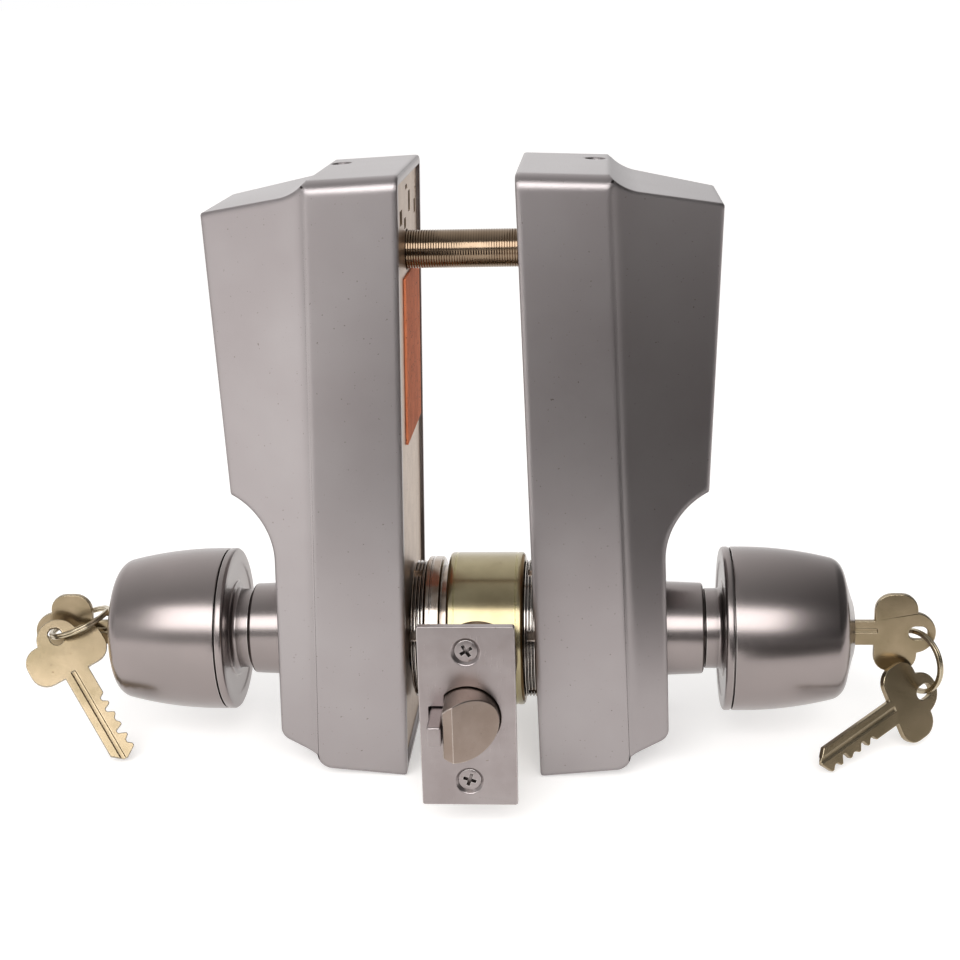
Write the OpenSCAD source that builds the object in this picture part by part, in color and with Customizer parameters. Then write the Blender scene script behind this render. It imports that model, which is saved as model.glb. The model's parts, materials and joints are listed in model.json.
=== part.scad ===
// Double sided keypad door lock with a cylinder latch, standing by itself with no door in it.
// The origin is on the knob axis, midway between the housings. +X points to the interior side,
// -Y to the edge of the door that carries the latch, and +Z up. Sizes are in millimetres.

/* [Housings] */
// Gap between the two housings at the knob axis, which is the door's thickness
door_gap = 41.3; // [40:0.1:46]
// Lean of each housing toward the other at its top, in degrees
housing_lean = 1.35; // [0:0.05:1.5]
// Width of a housing from front to back
housing_w = 66.2; // [65:0.1:72]
// Height of the top of a housing above the knob axis
housing_top = 153.7; // [152:0.1:158]
// Drop of the lower edge of a housing below the knob axis
housing_drop = 37.9; // [36:0.1:42]
// Thickness of the cast walls
wall = 3; // [2.4:0.1:3.4]
// Depth of the base at its top edge
base_depth = 27.2; // [25:0.1:29]
// Extra depth of the base at its foot
base_flare = 1.9; // [0.5:0.1:3]
// Fall of the base top toward its outer edge
base_fall = 1.8; // [0.5:0.1:3]
// Depth of the hood at the top of the keypad face
hood_depth = 60.8; // [59:0.1:63]
// Setback of the lower edge of the keypad face behind its top edge
face_setback = 5.5; // [4.5:0.1:6.5]
// Fall of the top of the keypad face below the top of the housing
hood_fall = 12.5; // [11:0.1:14]
// Slope of the hood's top, in degrees
hood_slope = 12; // [9:0.5:14]
// Draft of the hood's sides, in degrees
hood_draft = 16; // [12:0.5:18]
// Length of the cove between the base and the hood, measured across the top
top_cove = 8.8; // [6:0.1:10]
// Length of the cove along the sides
side_cove = 3.6; // [3:0.1:5]
// Step from the side of the base in to the hood, where the side cove ends
hood_root_step = 2.1; // [1.6:0.1:3]
// Depth of the lower body, where the knob stands
body_depth = 41.4; // [40:0.1:44]
// Drop of the lower body below the knob axis
body_drop = 28.4; // [26:0.1:30]
// Radius of the scoop between the keypad face and the lower body
scoop_r = 22.3; // [19:0.1:24]
// Height of the end of the scoop above the knob axis
scoop_height = 32.8; // [28:0.1:35]
// Radius of the rounded lower edge of the base
foot_r = 5; // [4:0.1:6]
// Radius of the rounded lower edge of the body
body_r = 3.9; // [3.6:0.1:5]
// Rise of the base's lower edge toward its outer edge
foot_rise = 1.7; // [1:0.1:2.5]

/* [Back plates] */
// Thickness of the sheet steel back plates
plate_t = 1.2; // [1:0.1:1.6]
// Depth of the back plates behind the rims of the housings
plate_inset = 1; // [0.9:0.1:1.4]
// Clearance between a back plate and the housing around it
plate_clear = 0.25; // [0.15:0.05:0.4]
// Width of the insulating sheet on the exterior back plate
sheet_w = 40; // [30:1:42]
// Height of the insulating sheet
sheet_h = 53; // [40:1:54]
// Thickness of the insulating sheet
sheet_t = 0.8; // [0.5:0.1:0.9]
// Diameter of the screw bosses behind a back plate
boss_d = 8; // [7:0.1:9]
// Shank diameter of the housing screws
screw_d = 3; // [2.5:0.1:3.5]
// Head diameter of the housing screws
screw_head_d = 5.8; // [5:0.1:6]

/* [Keypads] */
// Width of the recess that holds the keypad plate
keypad_w = 39; // [38:0.1:40]
// Height of the recess that holds the keypad plate
keypad_h = 74; // [72:0.5:76]
// Depth of the recess below the housing's outer face
keypad_recess = 3.2; // [3:0.1:3.6]
// Thickness of the keypad plate
keypad_t = 1.2; // [1:0.1:1.5]
// Diameter of a push button
button_d = 9.4; // [8.5:0.1:9.6]
// Sideways pitch of the buttons
button_pitch_y = 11.5; // [11.3:0.1:11.8]
// Upright pitch of the buttons
button_pitch_z = 16; // [13:0.1:16]
// Clearance around a button in the plate
button_clear = 0.3; // [0.2:0.05:0.35]
// Travel of a button
button_travel = 0.9; // [0.6:0.1:1]

/* [Chassis and conduit] */
// Sideways place of the chassis from the middle of the gap
chassis_shift = 3.85; // [2:0.05:4]
// Diameter of the drum
drum_d = 50.7; // [48:0.1:53]
// Width of the drum
drum_w = 24.9; // [22:0.1:25.5]
// Diameter of the bright adjusting ring beside the drum
ring_d = 48.2; // [44:0.1:50]
// Width of the bright adjusting ring
ring_w = 5.2; // [4:0.1:6]
// Diameter of the threaded hub on the interior side
thread_d = 45.4; // [42:0.1:48]
// Outer diameter of the hub tubes
hub_d = 23; // [22:0.1:24]
// Bore of the hub tubes
hub_bore = 19.4; // [18.5:0.1:19.8]
// Diameter of the conduit tube
conduit_d = 12; // [10:0.1:13]
// Height of the conduit above the knob axis
conduit_height = 127.3; // [125:0.1:130]
// Clearance between the conduit and the back plates
conduit_clear = 0.5; // [0.4:0.05:0.8]

/* [Latch] */
// Backset from the knob axis to the front of the face plate
backset = 69.85; // [60.3:0.05:69.85]
// Sideways place of the latch from the middle of the gap
latch_shift = 1.9; // [0:0.05:2.5]
// Width of the face plate
face_w = 28.6; // [25.4:0.1:30]
// Height of the face plate
face_h = 57.15; // [55:0.05:60]
// Thickness of the face plate
face_t = 2.4; // [2.2:0.1:3]
// Distance between the face plate screws
face_screw_pitch = 41.3; // [40:0.1:43]
// Diameter of the latch tube
tube_d = 25.4; // [24.5:0.1:26]
// Diameter of the latch bolt
bolt_d = 19; // [18:0.1:19.5]
// Throw of the latch bolt
throw = 12.7; // [9.5:0.1:12.7]
// Distance from the bolt's axis to its flat side
bolt_flat = 6.4; // [5.5:0.1:7]
// Thickness of the deadlocking plunger
plunger_w = 4.2; // [3:0.1:4.4]
// Height of the deadlocking plunger
plunger_h = 6.2; // [5:0.1:7]

/* [Knobs] */
// Diameter of the collar at its face
rose_d = 30; // [29:0.1:32]
// Distance of the collar's face from the outer face of the lower body
rose_stand = 12.6; // [11:0.1:14]
// Clearance of the collar in the housing
rose_clear = 1.6; // [1.4:0.1:2]
// Diameter of the knob's neck
neck_d = 26.4; // [25:0.1:28]
// Length of the neck between the collar and the knob
neck_l = 5; // [4:0.1:7]
// Largest diameter of the knob
knob_d = 53.9; // [50:0.1:58]
// Length of the knob from its rim to its end
knob_l = 42.6; // [40:0.1:46]
// Thickness of the rim disc that closes the knob
rim_t = 2.6; // [2:0.1:3.2]
// Wall of the knob shell
shell_t = 2; // [1.6:0.1:2.4]
// Diameter of the cylinder plug
plug_d = 12.7; // [12:0.1:13]

/* [Keys] */
// Thickness of a key
key_t = 2; // [1.8:0.1:2.2]
// Height of a key's blade
blade_h = 8.4; // [7.5:0.1:8.6]
// Length of a key's blade
blade_l = 33.2; // [30:0.1:34]
// Length of blade left between the knob and the bow
key_stand = 7; // [5:0.1:9]
// Height of a key's bow
bow_h = 27; // [24:0.1:28]
// Width of the two side lobes of a key's bow
bow_lobe_w = 14; // [12:0.1:15]
// Overall length of a key's bow
bow_l = 20; // [18:0.1:21]
// Width of the hole in a key's bow
key_hole_w = 4.6; // [4.6:0.1:5]
// Mean diameter of a key ring
key_ring_d = 20.5; // [20:0.1:21.5]
// Wire diameter of a key ring
key_wire_d = 1.8; // [1.4:0.1:1.8]

/* [Hidden] */

$fn = 64;
INTERIOR = 1;
EXTERIOR = -1;
chrome_colour = "#a39c98";
brass_colour = "#96825f";
zinc_colour = "#7a6c4c";
steel_colour = "#b9b2ae";
fibre_colour = "#a85f4b";
board_colour = "#2f5d3a";
button_colour = "#b8b4ae";

// Steps along a rounded edge, and clearances that repeat
arc_steps = 8;
sliding_fit = 0.08;
loose_fit = 0.3;
cut = 1;

// Housing outline
half_w = housing_w / 2;
hood_root_w = housing_w - 2 * hood_root_step;
form_h = housing_top + housing_drop;
ridge_z = housing_top - base_fall;
foot_depth = base_depth + base_flare;
face_top_z = housing_top - hood_fall;
cove_end_x = base_depth + top_cove;
cove_end_z = face_top_z + (hood_depth - cove_end_x) * tan(hood_slope);
scoop_x = body_depth + scoop_r;
// Height of the lower corner of the keypad face, where the scoop begins
face_low_z = scoop_height + sqrt(scoop_r * scoop_r - pow(scoop_x - hood_depth + face_setback, 2));
face_lean = atan(face_setback / (face_top_z - face_low_z));
face_len = (face_top_z - face_low_z) / cos(face_lean);
// Slope of the ridge line along the side of the base
flare_lean = atan(base_flare / (ridge_z + housing_drop - foot_r));

// Keypad, measured down the face from its top corner and inward from its surface
keypad_mid = -face_len / 2;
pad_window_w = keypad_w - 4;
pad_window_h = keypad_h - 8;
pad_ledge = 1.8;
pad_rim = 3;
pad_post_z = pad_window_h / 2 + 2.6;
lamp_r = 1.2;
lamp_z = pad_window_h / 2 - lamp_r - 0.5;
flange_r = button_pitch_y / 2 - 0.5;
flange_t = 0.8;
plate_back = keypad_recess;
flange_back = plate_back + loose_fit + flange_t;
stem_end = flange_back + 1.9;
dome_h = 0.35;
board_front = stem_end + button_travel + loose_fit + dome_h;
board_t = 1.6;
button_face = 1.1;
keypad_r = 3;

// Back plates
boss_y = half_w - wall - boss_d / 2 + 0.8;
boss_top_z = housing_top - wall - boss_d / 2 - 3.5;
boss_low_z = -housing_drop + wall + boss_d / 2 + 1;
boss_l = base_depth - wall - 5;
plate_inner = plate_inset + plate_t;
sheet_top_z = conduit_height - conduit_d / 2 - 1.3;
sheet_side_gap = 2.1;
sheet_y = half_w - wall - sheet_side_gap - sheet_w / 2;
cell_d = 14.5;
cell_l = 50.5;
tray_depth = 14;
pack_drop = 31.5;
hub_hole_r = hub_d / 2 + 3;
// Sideways place, height, width and height of each slot near the top of a back plate
plate_slots = [
    [-15, 139, 6, 4.6],
    [7.5, 141.5, 5, 6.5],
    [23, 138, 4.6, 4.4],
    [-4.5, 136, 5, 3.4],
    [0, 146.7, 5, 1.4]
];
top_screw_x = base_depth - 4;
top_screw_y = 15;
top_screw_depth = 2.4;
top_boss_l = 9;

// Chassis
drum_r = drum_d / 2;
drum_left = chassis_shift - drum_w / 2;
drum_right = chassis_shift + drum_w / 2;
drum_wall = 1.4;
drum_end_t = 2;
hub_r = hub_d / 2;
ring_gap = 2;
thread_gap = 0.7;
body_face = door_gap / 2 + body_depth;
rose_face = body_face + rose_stand;
rose_back = body_face - 7;
rose_lip = 3;
rose_flare = 0.5;
hub_end = rose_face - rose_lip - 0.2;
conduit_over = 6;
conduit_wall = 1.4;

// Latch
face_back_y = -backset + face_t;
socket_l = 3;
tube_start_y = face_back_y + socket_l;
tube_end_y = -drum_r - 0.35;
tube_wall = 1;
cap_t = 1.5;
bolt_r = bolt_d / 2;
bolt_front_y = -backset - throw;
bolt_bearing_l = 9.5;
bolt_flange_y = face_back_y + bolt_bearing_l;
bolt_over = 3 * bolt_d;
bolt_slant = 38;
bolt_slant_start = 3;
bolt_hole_l = face_t + socket_l + 2 * cut;
bolt_flange_t = 2;
tail_w = 4;
tail_h = 10;
retractor_front_y = -14;
retractor_l = 22;
retractor_h = 20;
retractor_end = 4;
retractor_side = 3;
plunger_front_y = bolt_front_y - 1;
plunger_l = 24;
spring_r = 6.4;
face_screw_d = 4.2;
face_screw_head_d = 8.4;
face_screw_l = 14;
face_screw_neck = 0.6;

// Knobs
spindle_r = hub_bore / 2 - sliding_fit;
spindle_bore_r = spindle_r - 2;
neck_start = rose_face + 0.4;
rim_start = rose_face + neck_l + 1;
shell_start = rim_start + rim_t + 0.4;
knob_end = rim_start + knob_l;
knob_r = knob_d / 2;
shoulder_x = knob_end - 7;
shoulder_drop = 3.6;
shoulder_r = 5.5;
side_r = (pow(shoulder_x - shell_start - 3, 2) + pow(shoulder_drop, 2)) / (2 * shoulder_drop);
plug_r = plug_d / 2;
plug_start = knob_end - 32;
plug_proud = 0.5;
barrel_r = plug_r + 3.2;
tail_start = drum_right + 6;

// Keys
key_z = -1.5;
blade_end = knob_end + plug_proud + key_stand;
hole_from_shoulder = 14.3;
slot_half = 0.8;
key_hole_x = blade_end + hole_from_shoulder;
ring_r = key_ring_d / 2;
wire_r = key_wire_d / 2;
bow_corner = 5.5;
cut_pitch = 4.1;
cut_depths = [1.4, 2.6, 1, 2.2, 1.7];
// Turn of the interior ring about the upright, and place of the spare key along it
interior_ring_turn = 36;
interior_spare_at = 18;
interior_spare_turn = [-17.6, -15.4, 37.5];
// Rise of the exterior ring over the blade, and place of the spare key along it
exterior_ring_rise = 20;
exterior_spare_at = 50;
exterior_spare_turn = [-118.4, -49.8, 146.5];

// Buttons: column, row and place in the plate, seen from outside the door
button_columns = [-1, 0, 1];
button_rows = [1.5, 0.5, -0.5, -1.5];

// Points along an arc
function arc(centre, r, from, to, steps = arc_steps) =
    [for (i = [0:steps])
        let (a = from + (to - from) * i / steps)
        [centre.x + r * cos(a), centre.y + r * sin(a)]];

// Radius of the cove that starts at a point and runs into a line with the given normal
function cove_radius(start, end, normal) = let (v = start - end) (v * v) / (2 * (v * normal));

// Points of that cove, moved into the wall by an inset
function cove(start, end, normal, inset) =
    let (r = cove_radius(start, end, normal), centre = end + r * normal, s = start - centre, e = end - centre)
    arc(centre, r + inset, atan2(s.y, s.x), atan2(e.y, e.x));

// Corner between the hood's top and the keypad face, moved inward by an inset
function face_corner(inset) =
    let (k = inset / (1 + sin(hood_slope - face_lean)))
    [
        hood_depth - k * (sin(hood_slope) + cos(face_lean)),
        face_top_z - k * (cos(hood_slope) - sin(face_lean))
    ];

// Angle on the scoop's circle where the keypad face meets it
function scoop_angle(inset) =
    let (v = [scoop_x - hood_depth, scoop_height - face_top_z] * [-cos(face_lean), sin(face_lean)])
    acos((v - inset) / (scoop_r + inset)) - face_lean;

// Height of the base's top at a depth
function roof(x, inset) = housing_top - inset - x * base_fall / base_depth;

// Outline of a housing from the side, as depth and height
function side_outline(inset, start) =
    let (normal = [sin(hood_slope), cos(hood_slope)])
    concat(
        [[start, -housing_drop + inset], [start, roof(start, inset)]],
        [for (p = cove([base_depth, ridge_z], [cove_end_x, cove_end_z], normal, inset))
            [p.x, min(p.y, roof(p.x, inset))]],
        [face_corner(inset)],
        arc([scoop_x, scoop_height], scoop_r + inset, scoop_angle(inset), 180),
        arc([body_depth - body_r, -body_drop + body_r], body_r - inset, 0, -70),
        arc(
            [foot_depth - foot_r, -housing_drop + foot_rise + foot_r],
            foot_r - inset, inset > 0 ? 40 : -6, -86
        )
    );

// Half outline of a housing from above, as depth and half width
function plan_half(inset, start) =
    let (
        normal = [sin(hood_draft), cos(hood_draft)],
        end = [base_depth + side_cove, hood_root_w / 2],
        tip = 1.2 * hood_depth
    )
    concat(
        [[start, half_w - inset]],
        [for (p = cove([base_depth, half_w], end, normal, inset)) [p.x, min(p.y, half_w - inset)]],
        [[tip, end.y - inset / cos(hood_draft) - (tip - end.x) * tan(hood_draft)]]
    );

function reversed(list) = [for (i = [len(list) - 1:-1:0]) list[i]];
function mirrored(list) = [for (p = list) [p.x, -p.y]];

// Flat rectangle with rounded corners
function rounded(w, h, r) = concat(
    arc([w / 2 - r, h / 2 - r], r, 0, 90, 6), arc([-w / 2 + r, h / 2 - r], r, 90, 180, 6),
    arc([-w / 2 + r, -h / 2 + r], r, 180, 270, 6), arc([w / 2 - r, -h / 2 + r], r, 270, 360, 6)
);

module on_side(side) {
    if (side == INTERIOR) {
        children();
    } else {
        mirror([1, 0, 0]) children();
    }
}

// Frame of a housing: depth outward from the door along X, with the housing's lean
module in_housing(side) {
    on_side(side) translate([door_gap / 2, 0, 0]) rotate([0, -housing_lean, 0]) children();
}

// Frame of the keypad face: X out of the face, Z up along it from its top corner
module on_face() {
    translate([hood_depth, 0, face_top_z]) rotate([0, face_lean, 0]) children();
}

// Solid of revolution about the X axis from points given as radius and place along X
module turned(points) {
    rotate([0, 90, 0]) rotate_extrude() polygon(points);
}

// Cylinder along X
module rod(r, from, to) {
    translate([from, 0, 0]) rotate([0, 90, 0]) cylinder(r = r, h = to - from);
}

// Slab of a rounded rectangle, from one depth to another below the keypad face
module face_slab(w, h, r, from, to) {
    translate([-to, 0, keypad_mid]) rotate([90, 0, 90]) linear_extrude(to - from) polygon(rounded(w, h, r));
}

// Body of a housing, or its hollow when an inset is given
module housing_form(inset, start) {
    intersection() {
        rotate([90, 0, 0]) linear_extrude(housing_w + 2, center = true) polygon(side_outline(inset, start));
        translate([base_depth, 0, ridge_z]) rotate([0, -flare_lean, 0])
            translate([-base_depth, 0, -1.15 * form_h]) linear_extrude(1.35 * form_h)
                polygon(concat(plan_half(inset, start - 8), reversed(mirrored(plan_half(inset, start - 8)))));
    }
}

module plate_boss_places() {
    for (y = [-boss_y, boss_y], z = [boss_low_z, boss_top_z]) translate([0, y, z]) children();
}

module button_places() {
    for (row = button_rows, column = button_columns)
        translate([0, column * button_pitch_y, keypad_mid + row * button_pitch_z]) children();
}

module pad_post_places() {
    for (y = [-13, 13], z = [-pad_post_z, pad_post_z]) translate([0, y, keypad_mid + z]) children();
}

module housing(side) {
    color(chrome_colour) in_housing(side) {
        difference() {
            union() {
                difference() {
                    housing_form(0, 0);
                    housing_form(wall, -cut);
                }
                plate_boss_places() rod(boss_d / 2, plate_inner, plate_inner + boss_l);
                translate([top_screw_x, top_screw_y, roof(top_screw_x, wall) - top_boss_l])
                    cylinder(d = screw_head_d + 2, h = top_boss_l + 1);
                on_face() {
                    face_slab(
                        keypad_w + 2 * pad_rim, keypad_h + 2 * pad_rim, keypad_r + pad_rim,
                        wall - 0.5, keypad_recess + pad_ledge
                    );
                    pad_post_places() rod(2.2, -board_front, -wall);
                }
            }
            plate_boss_places() rod(screw_d / 2, 0, plate_inner + boss_l - 2);
            translate([top_screw_x, top_screw_y, roof(top_screw_x, top_screw_depth)])
                cylinder(d = screw_head_d + 0.6, h = 10);
            translate([top_screw_x, top_screw_y, roof(top_screw_x, wall) - top_boss_l + 1])
                cylinder(d = screw_d, h = top_boss_l + 3);
            on_face() {
                face_slab(keypad_w, keypad_h, keypad_r, -cut, keypad_recess);
                face_slab(pad_window_w, pad_window_h, keypad_r, 0, keypad_recess + pad_ledge + cut);
            }
            rod(rose_d / 2 + rose_flare + rose_clear, body_depth - wall - cut, body_depth + cut);
        }
    }
}

module back_plate(side) {
    color(steel_colour) in_housing(side) {
        difference() {
            intersection() {
                housing_form(wall + plate_clear, -cut);
                translate([plate_inset, -half_w, -housing_drop])
                    cube([plate_t, housing_w, housing_top + housing_drop]);
            }
            rod(hub_hole_r, 0, plate_inner + cut);
            translate([0, 0, conduit_height]) rod(conduit_d / 2 + conduit_clear, 0, plate_inner + cut);
            for (s = plate_slots) translate([0, s[0] - s[2] / 2, s[1] - s[3] / 2])
                cube([plate_inner + cut, s[2], s[3]]);
            plate_boss_places() {
                rod(screw_d / 2 + 0.2, 0, plate_inner + cut);
                screw_cone(0.2, -0.05);
            }
        }
    }
}

// Countersunk head of a plate screw, from the door side of the plate inward
module screw_cone(clear, start) {
    translate([plate_inset, 0, 0])
        turned([[0, start], [screw_head_d / 2 + clear, start], [screw_d / 2 + clear, plate_t], [0, plate_t]]);
}

module insulator() {
    color(fibre_colour) in_housing(EXTERIOR)
        translate([plate_inset - sheet_t, sheet_y - sheet_w / 2, sheet_top_z - sheet_h])
            cube([sheet_t, sheet_w, sheet_h]);
}

module keypad_plate(side) {
    color(steel_colour) in_housing(side) on_face() difference() {
        face_slab(
            keypad_w - 2 * plate_clear, keypad_h - 2 * plate_clear, keypad_r,
            keypad_recess - keypad_t, keypad_recess
        );
        button_places() rod(button_d / 2 + button_clear, -keypad_recess - cut, cut);
        translate([0, 0, keypad_mid + lamp_z]) rod(lamp_r + 0.2, -keypad_recess - cut, cut);
    }
}

module circuit_board(side) {
    color(board_colour) in_housing(side) on_face() {
        translate([-board_front - board_t, -pad_window_w / 2, keypad_mid - pad_post_z - 3])
            cube([board_t, pad_window_w, 2 * pad_post_z + 6]);
        button_places() rod(3.2, -board_front - 0.2, -board_front + dome_h);
        translate([0, 0, keypad_mid + lamp_z]) rod(lamp_r, -board_front - 0.2, -keypad_recess + keypad_t - 0.4);
    }
}

module button(side, column, row) {
    color(button_colour) in_housing(side) on_face()
        translate([0, side * column * button_pitch_y, keypad_mid + row * button_pitch_z]) turned([
            [0, -stem_end], [1.6, -stem_end], [1.6, -flange_back], [flange_r, -flange_back],
            [flange_r, -flange_back + flange_t], [button_d / 2, -flange_back + flange_t],
            [button_d / 2, -button_face - 0.6], [button_d / 2 - 0.6, -button_face], [0, -button_face]
        ]);
}

module housing_screws(side) {
    color(steel_colour) in_housing(side) {
        plate_boss_places() union() {
            screw_cone(0, 0.05);
            rod(screw_d / 2 - 0.05, plate_inner - 0.2, plate_inner + boss_l - 4);
        }
        translate([top_screw_x, top_screw_y, roof(top_screw_x, top_screw_depth)]) {
            difference() {
                cylinder(d1 = screw_head_d, d2 = screw_head_d - 1, h = 1.5);
                for (a = [0, 90]) rotate([0, 0, a]) translate([-1.7, -0.35, 0.6]) cube([3.4, 0.7, 2]);
            }
            translate([0, 0, -6]) cylinder(d = screw_d - 0.1, h = 6.01);
        }
    }
}

module battery_pack() {
    pack_h = 4 * cell_d + 3;
    pack_z = sheet_top_z - pack_drop;
    color("#3a3a3c") in_housing(INTERIOR) {
        difference() {
            translate([plate_inner, -cell_l / 2 - 2, pack_z - pack_h / 2])
                cube([tray_depth, cell_l + 4, pack_h]);
            translate([plate_inner + 2, -cell_l / 2, pack_z - pack_h / 2 + 1])
                cube([tray_depth, cell_l, pack_h - 2]);
        }
        for (i = [-1.5:1:1.5])
            translate([plate_inner + 1.8 + cell_d / 2, -cell_l / 2 - 0.01, pack_z + i * cell_d])
                rotate([-90, 0, 0]) cylinder(d = cell_d - 0.1, h = cell_l + 0.02);
    }
}

module chassis_case() {
    color(zinc_colour) difference() {
        turned([
            [hub_r + sliding_fit, drum_left], [drum_r, drum_left], [drum_r, drum_right],
            [hub_r + sliding_fit, drum_right], [hub_r + sliding_fit, drum_right - drum_end_t],
            [drum_r - drum_wall, drum_right - drum_end_t], [drum_r - drum_wall, drum_left + drum_end_t],
            [hub_r + sliding_fit, drum_left + drum_end_t]
        ]);
        translate([latch_shift - tail_w / 2 - 1, -drum_r - cut, -tail_h / 2 - 1])
            cube([tail_w + 2, drum_r, tail_h + 2]);
    }
}

module chassis_hubs() {
    color(steel_colour) {
        turned([
            [hub_bore / 2, -hub_end], [hub_r, -hub_end], [hub_r, drum_left - ring_gap - ring_w],
            [ring_d / 2, drum_left - ring_gap - ring_w], [ring_d / 2, drum_left - ring_gap],
            [ring_d / 2 - 3, drum_left - ring_gap], [ring_d / 2 - 3, drum_left], [hub_bore / 2, drum_left]
        ]);
        turned([
            [hub_bore / 2, drum_right - drum_end_t], [hub_r, drum_right - drum_end_t], [hub_r, hub_end],
            [hub_bore / 2, hub_end]
        ]);
    }
}

// Threaded collar round the hub tube, from a place along X to just short of the back plate
module thread_collar(from) {
    collar_end = door_gap / 2 - 0.35;
    groove = 1;
    turns = 2;
    pitch = (collar_end - from) / turns;
    turned(concat(
        [[hub_r + sliding_fit, from], [thread_d / 2 - groove, from]],
        [for (i = [0:turns - 1], p = [[0, 0.15], [1, 0.4], [1, 0.6], [0, 0.85]])
            [thread_d / 2 - groove * (1 - p[0]), from + (i + p[1]) * pitch]],
        [[thread_d / 2 - groove, collar_end], [hub_r + sliding_fit, collar_end]]
    ));
}

module thread_collars() {
    color(steel_colour) {
        thread_collar(drum_right);
        on_side(EXTERIOR) thread_collar(ring_gap + ring_w - drum_left);
    }
}

module conduit_tube() {
    reach = door_gap / 2 + conduit_over;
    color(brass_colour) translate([0, 0, conduit_height]) turned([
        [conduit_d / 2 - conduit_wall, -reach], [conduit_d / 2, -reach],
        [conduit_d / 2, reach], [conduit_d / 2 - conduit_wall, reach]
    ]);
}

module latch_faceplate() {
    color(steel_colour) translate([latch_shift, 0, 0]) difference() {
        union() {
            translate([0, -backset, 0]) rotate([-90, 0, 0]) linear_extrude(face_t)
                polygon(rounded(face_w, face_h, 0.8));
            translate([0, face_back_y - 0.01, 0]) rotate([-90, 0, 0])
                cylinder(d = tube_d, h = socket_l + 0.01);
        }
        translate([0, -backset - cut, 0]) rotate([-90, 0, 0]) bolt_hole();
        translate([0, face_back_y, 0]) rotate([-90, 0, 0]) cylinder(r = tube_d / 2 - tube_wall, h = 4);
        for (z = [-face_screw_pitch / 2, face_screw_pitch / 2])
            translate([0, -backset - 0.01, z]) rotate([-90, 0, 0]) {
                cylinder(d1 = face_screw_head_d + 0.2, d2 = face_screw_d + 0.2, h = face_t - 0.2);
                cylinder(d = face_screw_d + 0.2, h = face_t + cut);
            }
    }
}

// Hole for the bolt and the plunger beside it
module bolt_hole() {
    difference() {
        cylinder(r = bolt_r + loose_fit, h = bolt_hole_l);
        translate([-bolt_flat - loose_fit - bolt_over, -bolt_over / 2, -cut]) cube(bolt_over);
    }
    translate([-bolt_flat - 2 * loose_fit - plunger_w - 0.2, -plunger_h / 2 - loose_fit, 0])
        cube([plunger_w + 2 * loose_fit + 0.4, plunger_h + 2 * loose_fit, bolt_hole_l]);
}

module latch_tube() {
    color(steel_colour) translate([latch_shift, 0, 0]) difference() {
        translate([0, tube_start_y, 0]) rotate([-90, 0, 0])
            cylinder(d = tube_d, h = tube_end_y - tube_start_y);
        translate([0, tube_start_y - cut, 0]) rotate([-90, 0, 0])
            cylinder(r = tube_d / 2 - tube_wall, h = tube_end_y - cap_t - tube_start_y + cut);
        translate([-tail_w / 2 - loose_fit, tube_end_y - 5, -tail_h / 2 - loose_fit])
            cube([tail_w + 2 * loose_fit, 10, tail_h + 2 * loose_fit]);
    }
}

module faceplate_screws() {
    color(steel_colour) for (z = [-face_screw_pitch / 2, face_screw_pitch / 2]) {
        translate([latch_shift, -backset, z]) rotate([-90, 0, 0]) difference() {
            union() {
                cylinder(d1 = face_screw_head_d - 0.2, d2 = face_screw_d, h = face_t - 0.2);
                cylinder(d = face_screw_d - 1, h = face_t + face_screw_neck);
                translate([0, 0, face_t + face_screw_neck - 0.1])
                    cylinder(d = face_screw_d, h = face_screw_l - face_screw_neck + 0.1);
            }
            for (a = [0, 90]) rotate([0, 0, a]) translate([-2.2, -0.45, -cut]) cube([4.4, 0.9, cut + 1.1]);
        }
    }
}

module latch_bolt() {
    color(steel_colour) translate([latch_shift, 0, 0]) {
        difference() {
            union() {
                translate([0, bolt_front_y, 0]) rotate([-90, 0, 0])
                    cylinder(r = bolt_r, h = bolt_flange_y - bolt_front_y);
                translate([0, bolt_flange_y - 0.01, 0]) rotate([-90, 0, 0])
                    cylinder(r = tube_d / 2 - tube_wall - loose_fit, h = bolt_flange_t);
            }
            translate([-bolt_flat - bolt_over, bolt_front_y - cut, -bolt_over / 2]) cube(bolt_over);
            // Slanted striking face, toward the interior side
            translate([bolt_slant_start - bolt_flat, bolt_front_y, -bolt_over / 2]) rotate([0, 0, bolt_slant])
                translate([0, -bolt_over, 0]) cube(bolt_over);
        }
        translate([-tail_w / 2, bolt_flange_y + 1, -tail_h / 2])
            cube([tail_w, retractor_front_y - loose_fit - bolt_flange_y - 1, tail_h]);
    }
}

module deadlock_plunger() {
    color(steel_colour)
        translate([latch_shift - bolt_flat - loose_fit - plunger_w, plunger_front_y, -plunger_h / 2])
            cube([plunger_w, plunger_l, plunger_h]);
}

module latch_spring() {
    from = bolt_flange_y + bolt_flange_t + 0.2;
    to = tube_end_y - cap_t - 0.2;
    color(steel_colour) translate([latch_shift, from, 0]) rotate([-90, 0, 0]) difference() {
        cylinder(r = spring_r + 1.2, h = to - from);
        translate([0, 0, -cut]) cylinder(r = spring_r, h = to - from + 2 * cut);
    }
}

module retractor() {
    inner_left = drum_left + drum_end_t + loose_fit;
    inner_right = drum_right - drum_end_t - loose_fit;
    color(zinc_colour) difference() {
        translate([inner_left, retractor_front_y, -retractor_h / 2])
            cube([inner_right - inner_left, retractor_l, retractor_h]);
        translate([
            inner_left + retractor_side,
            retractor_front_y + retractor_end,
            retractor_end - retractor_h / 2
        ])
            cube([
                inner_right - inner_left - 2 * retractor_side,
                retractor_l,
                retractor_h - 2 * retractor_end
            ]);
    }
}

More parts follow.
